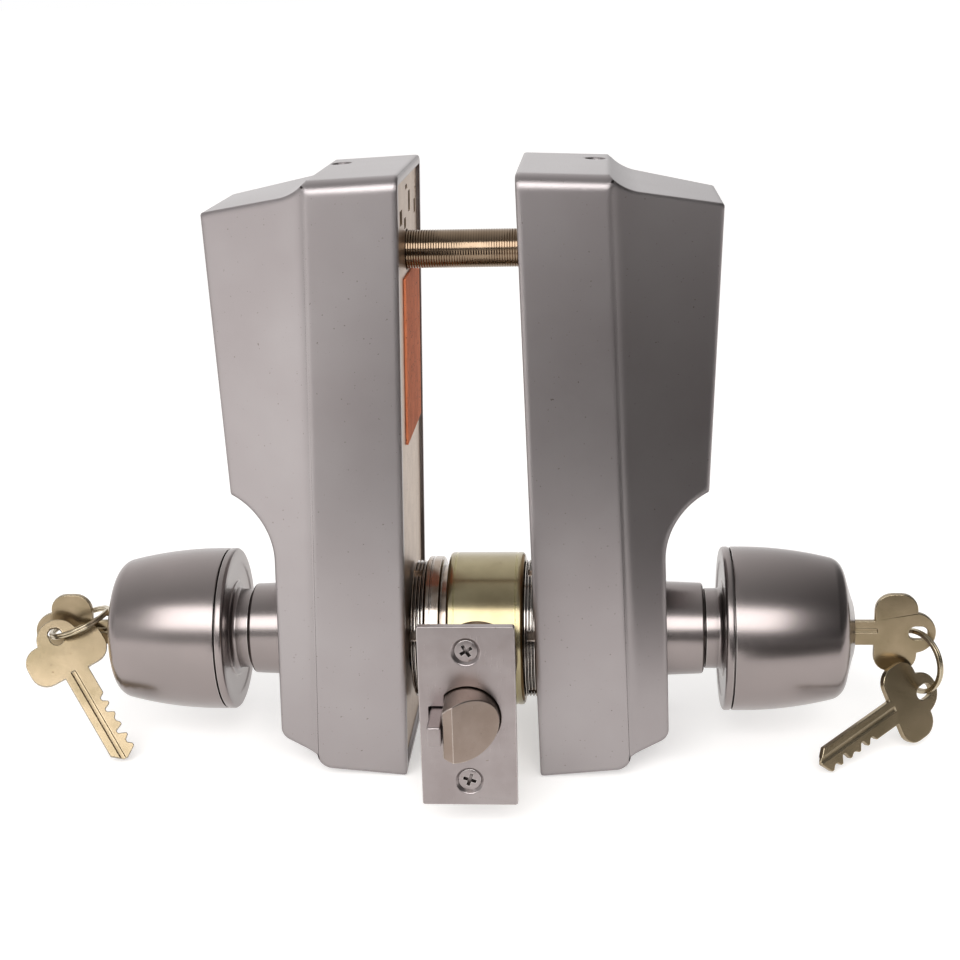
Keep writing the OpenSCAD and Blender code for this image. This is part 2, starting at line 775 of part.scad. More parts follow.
module rose(side) {
    on_side(side) turned([
        [hub_r + sliding_fit, rose_back], [rose_d / 2 + rose_flare, rose_back],
        [rose_d / 2 + rose_flare, body_face], [rose_d / 2, rose_face - 0.8],
        [rose_d / 2 - 0.8, rose_face], [hub_bore / 2, rose_face],
        [hub_bore / 2, rose_face - rose_lip], [hub_r + sliding_fit, rose_face - rose_lip]
    ]);
}

module roses() {
    color(chrome_colour) {
        rose(EXTERIOR);
        rose(INTERIOR);
    }
}

// Spindle tube with the knob's neck and the rim disc that closes the knob
module spindle(side) {
    start = side == INTERIOR ? drum_right - drum_end_t + 1 : -drum_left - drum_end_t + 1;
    step_r = knob_r - shell_t - 0.15;
    color(chrome_colour) on_side(side) turned([
        [spindle_bore_r, start], [spindle_r, start], [spindle_r, neck_start], [neck_d / 2, neck_start],
        [neck_d / 2, rim_start - 1.4], [neck_d / 2 + 1.4, rim_start], [knob_r - 1, rim_start],
        [knob_r, rim_start + 1], [knob_r, rim_start + rim_t], [step_r, rim_start + rim_t],
        [step_r, shell_start + 2.4], [spindle_bore_r, shell_start + 2.4]
    ]);
}

// Outer line of the knob shell from its rim to its end face, as radius and place along X
function knob_line(inset) = let (
    flat_end = shell_start + 3,
    sweep = asin((shoulder_x - flat_end) / side_r)
) concat(
    [[knob_r - inset, shell_start]],
    [for (i = [0:arc_steps]) let (a = sweep * i / arc_steps)
        [knob_r - side_r + (side_r - inset) * cos(a), flat_end + (side_r - inset) * sin(a)]],
    [for (i = [1:arc_steps]) let (a = sweep + (82 - sweep) * i / arc_steps)
        [knob_r - shoulder_drop - shoulder_r * cos(sweep) + (shoulder_r - inset) * cos(a),
         shoulder_x - shoulder_r * sin(sweep) + (shoulder_r - inset) * sin(a)]]
);

module knob_shell(side) {
    color(chrome_colour) on_side(side) difference() {
        union() {
            turned(concat(knob_line(0), [[plug_r, knob_end], [0, knob_end], [0, knob_end - shell_t]],
                reversed(knob_line(shell_t))));
            rod(barrel_r, plug_start, knob_end - shell_t / 2);
        }
        rod(plug_r + sliding_fit, plug_start - cut, knob_end + cut);
    }
}

module plug(side) {
    slot_z = key_z - blade_h / 2 - 0.25;
    color(brass_colour) on_side(side) {
        difference() {
            rod(plug_r, plug_start + 0.5, knob_end + plug_proud);
            translate([plug_start + 3, -key_t / 2 - 0.15, -plug_r - cut])
                cube([knob_end, key_t + 0.3, key_z + blade_h / 2 + 0.25 + plug_r + cut]);
        }
        translate([tail_start, -0.8, -2.5]) cube([plug_start + 1 - tail_start, 1.6, 5]);
    }
}

// Key with its hole at the origin, its bow toward +X and its blade toward -X
module key() {
    blade = [
        for (i = [0:len(cut_depths) - 1], p = [[-1.6, 0], [-0.5, 1], [0.5, 1], [1.6, 0]])
            [-hole_from_shoulder - blade_l + 5 + i * cut_pitch + p[0], -blade_h / 2 + cut_depths[i] * p[1]]
    ];
    color(brass_colour) rotate([90, 0, 0]) difference() {
        translate([0, 0, -key_t / 2]) linear_extrude(key_t) difference() {
            union() {
                translate([-hole_from_shoulder + bow_lobe_w / 2, 0])
                    polygon(rounded(bow_lobe_w, bow_h, bow_corner));
                end_lobe();
                polygon(concat(
                    [[-hole_from_shoulder + 1, -blade_h / 2], [-hole_from_shoulder + 1, blade_h / 2],
                     [-hole_from_shoulder - blade_l + 3, blade_h / 2], [-hole_from_shoulder - blade_l, 0.8],
                     [-hole_from_shoulder - blade_l, -0.6],
                     [-hole_from_shoulder - blade_l + 2.4, -blade_h / 2]],
                    blade
                ));
            }
            for (x = [-slot_half, slot_half]) translate([x, 0]) circle(d = key_hole_w);
            square([2 * slot_half, key_hole_w], center = true);
        }
        for (z = [-key_t / 2, key_t / 2]) translate([-hole_from_shoulder - blade_l / 2 - 1, 0.9, z])
            cube([blade_l + 4, 1.5, 0.9], center = true);
    }
}

// End lobe of a key's bow, round the hole
module end_lobe() {
    lobe_r = 7;
    translate([bow_l - hole_from_shoulder - lobe_r, 0]) circle(r = lobe_r);
    translate([-4, -lobe_r]) square([bow_l - hole_from_shoulder - lobe_r + 4, 2 * lobe_r]);
}

module inserted_key(side) {
    on_side(side) translate([key_hole_x, 0, key_z]) key();
}

module wire_ring() {
    color(brass_colour) rotate_extrude() translate([ring_r, 0]) circle(r = wire_r, $fn = 32);
}

module interior_ring_frame() {
    translate([key_hole_x, 0, key_z - ring_r]) children();
}

module exterior_ring_frame() {
    translate([-key_hole_x + ring_r * cos(exterior_ring_rise), 0, key_z + ring_r * sin(exterior_ring_rise)])
        children();
}

module interior_key_ring() {
    interior_ring_frame() rotate([0, 0, interior_ring_turn]) rotate([0, 90, 0]) wire_ring();
}

module exterior_key_ring() {
    exterior_ring_frame() rotate([0, -exterior_ring_rise, 0]) wire_ring();
}

module interior_spare_key() {
    interior_ring_frame()
        translate([
            ring_r * sin(interior_spare_at) * sin(interior_ring_turn),
            -ring_r * sin(interior_spare_at) * cos(interior_ring_turn),
            -ring_r * cos(interior_spare_at)
        ]) rotate(interior_spare_turn) key();
}

module exterior_spare_key() {
    exterior_ring_frame()
        translate([
            -ring_r * cos(exterior_spare_at) * cos(exterior_ring_rise),
            -ring_r * sin(exterior_spare_at),
            -ring_r * cos(exterior_spare_at) * sin(exterior_ring_rise)
        ]) rotate(exterior_spare_turn) key();
}

chassis_case();
chassis_hubs();
thread_collars();
latch_faceplate();
latch_tube();
faceplate_screws();
conduit_tube();
roses();
retractor();
latch_bolt();
deadlock_plunger();
latch_spring();
housing(EXTERIOR);  // exterior_housing
back_plate(EXTERIOR);  // exterior_back_plate
insulator();  // exterior_insulator
keypad_plate(EXTERIOR);  // exterior_keypad_plate
circuit_board(EXTERIOR);  // exterior_circuit_board
housing_screws(EXTERIOR);  // exterior_housing_screws
housing(INTERIOR);  // interior_housing
back_plate(INTERIOR);  // interior_back_plate
keypad_plate(INTERIOR);  // interior_keypad_plate
circuit_board(INTERIOR);  // interior_circuit_board
battery_pack();  // interior_battery_pack
housing_screws(INTERIOR);  // interior_housing_screws
knob_shell(EXTERIOR);  // exterior_knob
spindle(EXTERIOR);  // exterior_spindle
plug(EXTERIOR);  // exterior_plug
knob_shell(INTERIOR);  // interior_knob
spindle(INTERIOR);  // interior_spindle
plug(INTERIOR);  // interior_plug
inserted_key(EXTERIOR);  // exterior_key
exterior_key_ring();
exterior_spare_key();
inserted_key(INTERIOR);  // interior_key
interior_key_ring();
interior_spare_key();
button(EXTERIOR, -1, 1.5);  // exterior_button_1
button(EXTERIOR, 0, 1.5);  // exterior_button_2
button(EXTERIOR, 1, 1.5);  // exterior_button_3
button(EXTERIOR, -1, 0.5);  // exterior_button_4
button(EXTERIOR, 0, 0.5);  // exterior_button_5
button(EXTERIOR, 1, 0.5);  // exterior_button_6
button(EXTERIOR, -1, -0.5);  // exterior_button_7
button(EXTERIOR, 0, -0.5);  // exterior_button_8
button(EXTERIOR, 1, -0.5);  // exterior_button_9
button(EXTERIOR, -1, -1.5);  // exterior_button_clear
button(EXTERIOR, 0, -1.5);  // exterior_button_0
button(EXTERIOR, 1, -1.5);  // exterior_button_enter
button(INTERIOR, -1, 1.5);  // interior_button_1
button(INTERIOR, 0, 1.5);  // interior_button_2
button(INTERIOR, 1, 1.5);  // interior_button_3
button(INTERIOR, -1, 0.5);  // interior_button_4
button(INTERIOR, 0, 0.5);  // interior_button_5
button(INTERIOR, 1, 0.5);  // interior_button_6
button(INTERIOR, -1, -0.5);  // interior_button_7
button(INTERIOR, 0, -0.5);  // interior_button_8
button(INTERIOR, 1, -0.5);  // interior_button_9
button(INTERIOR, -1, -1.5);  // interior_button_clear
button(INTERIOR, 0, -1.5);  // interior_button_0
button(INTERIOR, 1, -1.5);  // interior_button_enter
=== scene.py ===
"""Keypad door lock: two leaning cast housings on a cylindrical chassis, with latch, knobs and keys.

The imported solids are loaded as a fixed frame. New pieces are modelled round them in millimetres with
Blender's own operators, and each is scaled to metres as it is finished.
"""
from __future__ import annotations

import json
import logging
import math
from dataclasses import dataclass
from enum import Enum
from typing import Callable, Sequence

import bmesh
import bpy
from mathutils import Matrix, Vector


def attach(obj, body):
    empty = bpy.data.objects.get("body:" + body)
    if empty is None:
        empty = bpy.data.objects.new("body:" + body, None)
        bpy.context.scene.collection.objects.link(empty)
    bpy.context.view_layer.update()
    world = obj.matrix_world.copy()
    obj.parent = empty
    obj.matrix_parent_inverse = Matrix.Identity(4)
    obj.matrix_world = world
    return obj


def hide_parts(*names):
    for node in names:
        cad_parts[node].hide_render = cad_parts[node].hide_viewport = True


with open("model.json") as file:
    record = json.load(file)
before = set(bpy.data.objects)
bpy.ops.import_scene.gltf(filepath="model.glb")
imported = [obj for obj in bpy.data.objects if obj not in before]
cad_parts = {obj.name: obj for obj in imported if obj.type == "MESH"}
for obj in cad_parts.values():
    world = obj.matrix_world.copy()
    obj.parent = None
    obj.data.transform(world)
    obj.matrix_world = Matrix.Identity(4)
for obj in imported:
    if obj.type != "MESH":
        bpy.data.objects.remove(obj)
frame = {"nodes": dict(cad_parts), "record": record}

LOG = logging.getLogger("door_lock")
MM = 0.001
FULL_TURN = math.tau
Point = Sequence[float]
Profile = list[tuple[float, float]]
# How far a cutter stands out past what it cuts, in millimetres
PAST = 1.0


class Side(Enum):
    """Side of the door, with its sign along X."""

    EXTERIOR = -1
    INTERIOR = 1

    @property
    def word(self) -> str:
        """Side as it stands in the names of nodes and bodies."""
        return self.name.lower()

    def flipped(self) -> Matrix:
        """Matrix that carries an interior piece over to this side."""
        return Matrix.Diagonal((self.value, 1, 1, 1))


class Grain(Enum):
    """Direction in which a surface was brushed, as pattern scales along X, Y and Z."""

    NONE = (1.0, 1.0, 1.0)
    UPRIGHT = (1.0, 1.0, 0.06)


# Modelling


class Work:
    """One piece being modelled, in millimetres, with Blender's own operators."""

    def __init__(self, obj: bpy.types.Object, name: str) -> None:
        """Takes the object that an operator has just added and names it.

        Args:
            obj: Object to work on.
            name: Name of the piece.
        """
        self.obj = obj
        obj.name = name
        obj.data.name = name

    @staticmethod
    def clear() -> None:
        """Leaves edit mode and deselects everything."""
        if bpy.context.object and bpy.context.object.mode != "OBJECT":
            bpy.ops.object.mode_set(mode="OBJECT")
        bpy.ops.object.select_all(action="DESELECT")

    @classmethod
    def block(cls, name: str, low: Point, high: Point) -> Work:
        """Starts a piece from a box.

        Args:
            name: Name of the piece.
            low: Lowest corner.
            high: Highest corner.

        Returns:
            The piece.
        """
        cls.clear()
        size = [b - a for a, b in zip(low, high)]
        middle = [(a + b) / 2 for a, b in zip(low, high)]
        bpy.ops.mesh.primitive_cube_add(size=1, location=middle, scale=size)
        return cls(bpy.context.object, name).applied()

    @classmethod
    def rod(cls, name: str, start: Point, end: Point, radius: float, sides: int = 96) -> Work:
        """Starts a piece from a cylinder between two points.

        Args:
            name: Name of the piece.
            start: Centre of one end.
            end: Centre of the other end.
            radius: Radius.
            sides: Sides of the cylinder.

        Returns:
            The piece.
        """
        cls.clear()
        a, b = Vector(start), Vector(end)
        turn = (b - a).to_track_quat("Z", "Y").to_euler()
        bpy.ops.mesh.primitive_cylinder_add(
            vertices=sides, radius=radius, depth=(b - a).length, location=(a + b) / 2, rotation=turn
        )
        return cls(bpy.context.object, name).applied()

    @classmethod
    def drawn(cls, name: str, points: Sequence[Point], closed: bool = True, filled: bool = True) -> Work:
        """Draws an outline vertex by vertex, from a plane merged to its first point.

        Args:
            name: Name of the piece.
            points: Points of the outline.
            closed: Whether the last point joins the first.
            filled: Whether the outline becomes a face.

        Returns:
            The outline.
        """
        cls.clear()
        spots = [Vector(p) for p in points]
        bpy.ops.mesh.primitive_plane_add(size=1, location=spots[0])
        piece = cls(bpy.context.object, name).applied()
        bpy.ops.object.mode_set(mode="EDIT")
        bpy.ops.mesh.select_all(action="SELECT")
        bpy.ops.mesh.merge(type="CENTER")
        bpy.ops.mesh.select_mode(type="VERT")
        for here, there in zip(spots, spots[1:]):
            bpy.ops.mesh.extrude_vertices_move(TRANSFORM_OT_translate={"value": there - here})
        if filled:
            bpy.ops.mesh.select_all(action="SELECT")
            bpy.ops.mesh.edge_face_add()
        elif closed:
            mesh = bmesh.from_edit_mesh(piece.obj.data)
            for vert in mesh.verts:
                vert.select = len(vert.link_edges) < 2
            mesh.select_flush_mode()
            bmesh.update_edit_mesh(piece.obj.data)
            bpy.ops.mesh.edge_face_add()
        bpy.ops.object.mode_set(mode="OBJECT")
        return piece

    @classmethod
    def copied(cls, name: str, node: str, flat: float = 0.8) -> Work:
        """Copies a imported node, with its loose triangles merged into whole faces.

        Args:
            name: Name of the piece.
            node: Node to copy.
            flat: Largest angle in degrees between triangles of one flat face.

        Returns:
            The copy, in millimetres.
        """
        mesh = frame["nodes"][node].data.copy()
        mesh.materials.clear()
        piece = cls(linked(name, mesh), name)
        piece.obj.scale = (1 / MM,) * 3
        piece.applied().merged(0.002)
        return piece.edited(lambda: bpy.ops.mesh.dissolve_limited(angle_limit=math.radians(flat)))

    @classmethod
    def turned(cls, name: str, profile: Profile, closed: bool = True, sides: int = 128) -> Work:
        """Spins a profile about the X axis.

        Args:
            name: Name of the piece.
            profile: Points as place along X and radius.
            closed: Whether the profile's last point joins its first.
            sides: Steps of the spin.

        Returns:
            The piece.
        """
        piece = cls.drawn(name, [(x, 0, r) for x, r in profile], closed=closed, filled=False)
        piece.edited(lambda: bpy.ops.mesh.spin(
            steps=sides, angle=FULL_TURN, center=(0, 0, 0), axis=(1, 0, 0)))
        return piece.merged().outward()

    def select(self) -> None:
        """Makes this the only selected object, and the active one."""
        Work.clear()
        bpy.context.view_layer.objects.active = self.obj
        self.obj.select_set(True)

    def named(self, name: str) -> Work:
        """Gives the piece its name in the finished scene."""
        self.obj.name = name
        return self

    def applied(self) -> Work:
        """Puts the object's place, turn and scale into its mesh.

        Returns:
            The piece.
        """
        self.select()
        bpy.ops.object.transform_apply(location=True, rotation=True, scale=True)
        return self

    def edited(self, step: Callable[[], object]) -> Work:
        """Runs an edit mode operator on everything in the piece.

        Args:
            step: Call of the operator.

        Returns:
            The piece.
        """
        self.select()
        bpy.ops.object.mode_set(mode="EDIT")
        bpy.ops.mesh.select_mode(type="VERT")
        bpy.ops.mesh.select_all(action="SELECT")
        step()
        bpy.ops.object.mode_set(mode="OBJECT")
        return self

    def outward(self) -> Work:
        """Turns all faces outward."""
        return self.edited(lambda: bpy.ops.mesh.normals_make_consistent(inside=False))

    def merged(self, gap: float = 0.001) -> Work:
        """Merges points that lie within a gap of each other, in millimetres."""
        return self.edited(lambda: bpy.ops.mesh.remove_doubles(threshold=gap))

    def extruded(self, step: Point) -> Work:
        """Extrudes the whole flat outline by a step and turns its faces outward.

        Args:
            step: Way and length of the extrusion.

        Returns:
            The piece.
        """
        self.edited(lambda: bpy.ops.mesh.extrude_region_move(TRANSFORM_OT_translate={"value": Vector(step)}))
        return self.outward()

    def sliced(self, point: Point, normal: Point) -> Work:
        """Cuts away what lies beyond a plane and closes the cut.

        Args:
            point: Point of the plane.
            normal: Side of the plane that goes.

        Returns:
            The piece.
        """
        return self.edited(lambda: bpy.ops.mesh.bisect(
            plane_co=point, plane_no=normal, use_fill=True, clear_outer=True))

    def modified(self, kind: str, **settings: object) -> Work:
        """Adds a modifier, sets it and applies it.

        Args:
            kind: Modifier's type.
            settings: Its settings.

        Returns:
            The piece.
        """
        self.select()
        modifier = self.obj.modifiers.new(kind.title(), kind)
        for key, value in settings.items():
            setattr(modifier, key, value)
        bpy.ops.object.modifier_apply(modifier=modifier.name)
        return self

    def combined(self, others: Sequence[Work], operation: str) -> Work:
        """Cuts, joins or intersects with other pieces, which are used up.

        Args:
            others: Pieces to combine with, one after another.
            operation: DIFFERENCE, UNION or INTERSECT.

        Returns:
            The piece.
        """
        for other in others:
            self.modified("BOOLEAN", object=other.obj, operation=operation, solver="EXACT")
            bpy.data.objects.remove(other.obj, do_unlink=True)
        return self

    def cut(self, *others: Work) -> Work:
        """Cuts other pieces out of this one."""
        return self.combined(others, "DIFFERENCE")

    def fused(self, *others: Work) -> Work:
        """Fuses other pieces to this one."""
        return self.combined(others, "UNION")

    def joined(self, *others: Work) -> Work:
        """Joins other pieces' meshes into this object, unfused.

        Args:
            others: Pieces to join, which are used up.

        Returns:
            The piece.
        """
        self.select()
        for other in others:
            other.obj.select_set(True)
        bpy.ops.object.join()
        return self

    def bevelled(self, width: float, segments: int = 3, degrees: float = 32.0) -> Work:
        """Rounds every edge sharper than an angle.

        Args:
            width: Width of the rounding in millimetres.
            segments: Steps across it.
            degrees: Angle above which an edge is rounded.

        Returns:
            The piece.
        """
        return self.modified(
            "BEVEL", width=width, segments=segments, limit_method="ANGLE",
            angle_limit=math.radians(degrees), use_clamp_overlap=False, miter_outer="MITER_ARC",
        )

    def bevelled_where(self, test: Callable[[Vector], bool], width: float, segments: int,
                       degrees: float) -> Work:
        """Rounds the sharp edges whose two ends pass a test.

        Args:
            test: Says of a point whether it lies on the edges that are meant.
            width: Width of the rounding in millimetres.
            segments: Steps across it.
            degrees: Angle above which an edge is sharp.

        Returns:
            The piece.
        """
        self.select()
        bpy.ops.object.mode_set(mode="EDIT")
        bpy.ops.mesh.select_mode(type="EDGE")
        bpy.ops.mesh.select_all(action="DESELECT")
        mesh = bmesh.from_edit_mesh(self.obj.data)
        for edge in mesh.edges:
            sharp = len(edge.link_faces) == 2 and edge.calc_face_angle() > math.radians(degrees)
            edge.select = sharp and all(test(vert.co) for vert in edge.verts)
        bmesh.update_edit_mesh(self.obj.data)
        bpy.ops.mesh.bevel(offset=width, segments=segments, affect="EDGES", clamp_overlap=True)
        bpy.ops.object.mode_set(mode="OBJECT")
        return self

    def placed(self, matrix: Matrix) -> Work:
        """Carries the mesh to its place.

        Args:
            matrix: Transform in millimetres.

        Returns:
            The piece.
        """
        self.obj.matrix_world = matrix @ self.obj.matrix_world
        self.applied()
        return self.outward() if matrix.determinant() < 0 else self

    def doubled(self, name: str) -> Work:
        """Copies the piece with a mesh of its own.

        Args:
            name: Name of the copy.

        Returns:
            The copy.
        """
        self.select()
        bpy.ops.object.duplicate(linked=False)
        return Work(bpy.context.object, name)

    def finished(self, finish: Finish, body: str, replaces: Sequence[str] = (), sharp: float = 35.0) -> Work:
        """Scales the piece to metres, shades and dresses it, and puts it on its body.

        Args:
            finish: Finish of its surface.
            body: Body that it rides on.
            replaces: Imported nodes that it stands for.
            sharp: Angle in degrees above which an edge stays sharp.

        Returns:
            The piece.
        """
        self.obj.scale = (MM,) * 3
        self.applied()
        if not self.obj.data.materials:
            self.obj.data.materials.append(finish.material())
        self.select()
        bpy.ops.object.shade_smooth_by_angle(angle=math.radians(sharp))
        self.modified("WEIGHTED_NORMAL", keep_sharp=True)
        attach(self.obj, body)
        if replaces:
            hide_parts(*replaces)
        LOG.info("%s: %d faces, on %s", self.obj.name, len(self.obj.data.polygons), body)
        return self


def linked(name: str, data: bpy.types.ID) -> bpy.types.Object:
    """Adds an object with its data to the scene.

    Args:
        name: Name of the object.
        data: Mesh, camera or lamp.

    Returns:
        The object.
    """
    obj = bpy.data.objects.new(name, data)
    bpy.context.collection.objects.link(obj)
    return obj


def arc(centre: Point, radius: float, start: float, end: float, steps: int) -> Profile:
    """Points along an arc from one angle to another, both in degrees."""
    angles = [math.radians(start + (end - start) * i / steps) for i in range(steps + 1)]
    return [(centre[0] + radius * math.cos(a), centre[1] + radius * math.sin(a)) for a in angles]


def softened(points: Profile, radius: float, degrees: float = 22.0, steps: int = 4) -> Profile:
    """Rounds the sharp corners of a closed outline.

    Args:
        points: Corners of the outline.
        radius: Radius of the rounding, less where its neighbours are near.
        degrees: Turn above which a corner is rounded.
        steps: Steps along each rounding.

    Returns:
        The outline with arcs in place of its sharp corners.
    """
    result: Profile = []
    for i, here in enumerate(points):
        corner = Vector(here)
        back, ahead = Vector(points[i - 1]) - corner, Vector(points[(i + 1) % len(points)]) - corner
        turn = math.pi - back.angle(ahead, math.pi)
        if turn < math.radians(degrees):
            result.append(here)
            continue
        reach = min(radius * math.tan(turn / 2), 0.45 * back.length, 0.45 * ahead.length)
        start, end = corner + back.normalized() * reach, corner + ahead.normalized() * reach
        for k in range(steps + 1):
            t = k / steps
            spot = (1 - t) ** 2 * start + 2 * t * (1 - t) * corner + t * t * end
            result.append((spot.x, spot.y))
    return result


def rounded_box(width: float, height: float, radius: float, steps: int = 8) -> Profile:
    """Outline of a rectangle with rounded corners, about its middle.

    Args:
        width: Width.
        height: Height.
        radius: Radius of its corners.
        steps: Steps along each corner.

    Returns:
        Points of the outline.
    """
    w, h = width / 2 - radius, height / 2 - radius
    corners = [((w, h), 0), ((-w, h), 90), ((-w, -h), 180), ((w, -h), 270)]
    return [p for centre, start in corners for p in arc(centre, radius, start, start + 90, steps)]


def shifted(x: float = 0, y: float = 0, z: float = 0) -> Matrix:
    """Matrix of a move in millimetres."""
    return Matrix.Translation((x, y, z))


def turned_by(degrees: float, axis: str) -> Matrix:
    """Matrix of a turn about an axis through the origin."""
    return Matrix.Rotation(math.radians(degrees), 4, axis)


# Materials


def linear(colour: str) -> tuple[float, float, float, float]:
    """Turns an sRGB hex colour to Blender's linear values.

    Args:
        colour: Colour such as #a09a96.

    Returns:
        Red, green, blue and alpha.
    """
    parts = [int(colour[i:i + 2], 16) / 255 for i in (1, 3, 5)]
    light = [p / 12.92 if p <= 0.04045 else ((p + 0.055) / 1.055) ** 2.4 for p in parts]
    return (light[0], light[1], light[2], 1.0)


def empty_tree(owner: bpy.types.Material | bpy.types.World) -> bpy.types.NodeTree:
    """Clears the nodes that a material or a world starts with.

    Args:
        owner: Material or world.

    Returns:
        Its empty node tree.
    """
    owner.use_nodes = True
    owner.node_tree.nodes.clear()
    return owner.node_tree


def add_node(tree: bpy.types.NodeTree, kind: str, inputs: dict | None = None,
             **settings: object) -> bpy.types.Node:
    """Adds a node with its settings, values and links.

    Args:
        tree: Node tree to add to.
        kind: Node type without its ShaderNode prefix.
        inputs: Values, or sockets to link, by the name or place of the input.
        settings: Properties of the node.

    Returns:
        The node.
    """
    node = tree.nodes.new("ShaderNode" + kind)
    for key, value in settings.items():
        setattr(node, key, value)
    for key, value in (inputs or {}).items():
        if isinstance(value, bpy.types.NodeSocket):
            tree.links.new(value, node.inputs[key])
        else:
            node.inputs[key].default_value = value
    return node


# Noise values between which patches and grain run from their least to their most
PATCH_RANGE = (0.36, 0.66)
GRAIN_RANGE = (0.3, 0.7)
SPECK_BLUR = 0.05
# Agreement of the rounded and the plain normal at which the painted edge line starts and is full
PAINTED_EDGE_RANGE = (0.995, 0.93)
PAINTED_EDGE_SHARE = 0.75
# Openness at which the painted shade starts and is full
PAINTED_SHADE_RANGE = (0.75, 0.3)
PAINTED_SHADE_SHARE = 0.85
RELIEF_MM = 0.2


@dataclass(frozen=True)
class Finish:
    """Metal or moulded surface with mottled colour, grain and specks, a line painted along its edges and
    shade painted into its corners.

    Attributes:
        slot: Material slot of the record.
        colour: Main sRGB colour.
        second: Colour of the broad patches.
        roughness: Mean roughness.
        metallic: 1 for metal, 0 for the rest.
        patch_mm: Size of the patches.
        grain_mm: Spacing of the grain, drawn no finer than shows.
        grain: Direction of the grain.
        grain_depth: How far the grain changes the roughness.
        bump: Strength of the grain's relief.
        speck: Colour of small specks, or none.
        speck_mm: Spacing of the specks.
        speck_share: Threshold above which a speck shows, lower for more.
        edge: Colour painted along the edges, as a highlight where pale and as shade where dark, or none.
        painted_edge_mm: Width of the line painted along the edges.
        dirt: Colour painted as shade into tight corners, or none.
        dirt_mm: Reach of the painted shade.
        soft_mm: Radius to which edges look rounded, or 0.
    """

    slot: str
    colour: str
    second: str
    roughness: float
    metallic: float = 1.0
    patch_mm: float = 24.0
    grain_mm: float = 0.35
    grain: Grain = Grain.NONE
    grain_depth: float = 0.06
    bump: float = 0.05
    speck: str | None = None
    speck_mm: float = 1.1
    speck_share: float = 0.70
    edge: str | None = None
    painted_edge_mm: float = 0.5
    dirt: str | None = None
    dirt_mm: float = 2.0
    soft_mm: float = 0.0

    def material(self) -> bpy.types.Material:
        """Builds the material once and gives it back on later calls.

        Returns:
            The material.
        """
        found = bpy.data.materials.get(self.slot + "_finish")
        if found:
            return found
        material = bpy.data.materials.new(self.slot + "_finish")
        tree = empty_tree(material)
        place = add_node(tree, "TexCoord").outputs["Object"]
        patches = add_node(tree, "TexNoise", {
            "Vector": place, "Scale": 1000 / self.patch_mm, "Detail": 3.0, "Roughness": 0.55})
        spread = add_node(tree, "MapRange", {
            "Value": patches.outputs[0], "From Min": PATCH_RANGE[0], "From Max": PATCH_RANGE[1]})
        colour = add_node(tree, "Mix", {
            0: spread.outputs[0], 6: linear(self.colour), 7: linear(self.second)},
            data_type="RGBA").outputs[2]
        drawn = add_node(tree, "Mapping", {"Vector": place, "Scale": self.grain.value})
        grain = add_node(tree, "TexNoise", {
            "Vector": drawn.outputs[0], "Scale": 1000 / self.grain_mm, "Detail": 4.0, "Roughness": 0.6})
        if self.speck:
            colour = self.with_specks(tree, place, colour)
        # Edges get a painted highlight, or painted shade where the edge colour is dark, and corners get
        # painted shade
        if self.edge:
            colour = self.with_painted_edges(tree, colour)
        if self.dirt:
            colour = self.with_painted_shade(tree, colour)
        rough = add_node(tree, "MapRange", {
            "Value": grain.outputs[0], "From Min": GRAIN_RANGE[0], "From Max": GRAIN_RANGE[1],
            "To Min": self.roughness - self.grain_depth, "To Max": self.roughness + self.grain_depth})
        relief = add_node(tree, "Bump", {
            "Height": grain.outputs[0], "Strength": self.bump, "Distance": RELIEF_MM * MM})
        if self.soft_mm:
            round_off = add_node(tree, "Bevel", {"Radius": self.soft_mm * MM}, samples=6)
            tree.links.new(round_off.outputs[0], relief.inputs["Normal"])
        shader = add_node(tree, "BsdfPrincipled", {
            "Base Color": colour, "Roughness": rough.outputs[0], "Metallic": self.metallic,
            "Normal": relief.outputs[0], "Specular IOR Level": 0.5 if self.metallic else 0.2})
        add_node(tree, "OutputMaterial", {"Surface": shader.outputs[0]})
        return material

    def with_specks(self, tree: bpy.types.NodeTree, place: bpy.types.NodeSocket,
                    colour: bpy.types.NodeSocket) -> bpy.types.NodeSocket:
        """Adds small specks to a colour, as pinholes and dust in the plating.

        Args:
            tree: Material's nodes.
            place: Coordinates.
            colour: Colour so far.

        Returns:
            Colour with the specks.
        """
        spots = add_node(tree, "TexNoise", {
            "Vector": place, "Scale": 1000 / self.speck_mm, "Detail": 1.0, "Roughness": 0.4})
        where = add_node(tree, "MapRange", {
            "Value": spots.outputs[0], "From Min": self.speck_share,
            "From Max": self.speck_share + SPECK_BLUR})
        return add_node(tree, "Mix", {
            0: where.outputs[0], 6: colour, 7: linear(self.speck)}, data_type="RGBA").outputs[2]

    def with_painted_edges(self, tree: bpy.types.NodeTree, colour: bpy.types.NodeSocket) -> bpy.types.NodeSocket:
        """Paints a line along the edges: a painted highlight where its colour is pale, painted shade where it
        is dark.

        Args:
            tree: Material's nodes.
            colour: Colour so far.

        Returns:
            Colour with the edges.
        """
        # Where the rounded normal parts from the plain one, the edge colour is painted as a highlight, or as
        # shade where the colour is dark
        rounding = add_node(tree, "Bevel", {"Radius": self.painted_edge_mm * MM}, samples=4)
        straight = add_node(tree, "NewGeometry")
        align = add_node(tree, "VectorMath", {
            0: rounding.outputs[0], 1: straight.outputs["Normal"]}, operation="DOT_PRODUCT")
        mask = add_node(tree, "MapRange", {
            "Value": align.outputs["Value"], "From Min": PAINTED_EDGE_RANGE[0], "From Max": PAINTED_EDGE_RANGE[1],
            "To Max": PAINTED_EDGE_SHARE})
        return add_node(tree, "Mix", {
            0: mask.outputs[0], 6: colour, 7: linear(self.edge)}, data_type="RGBA").outputs[2]

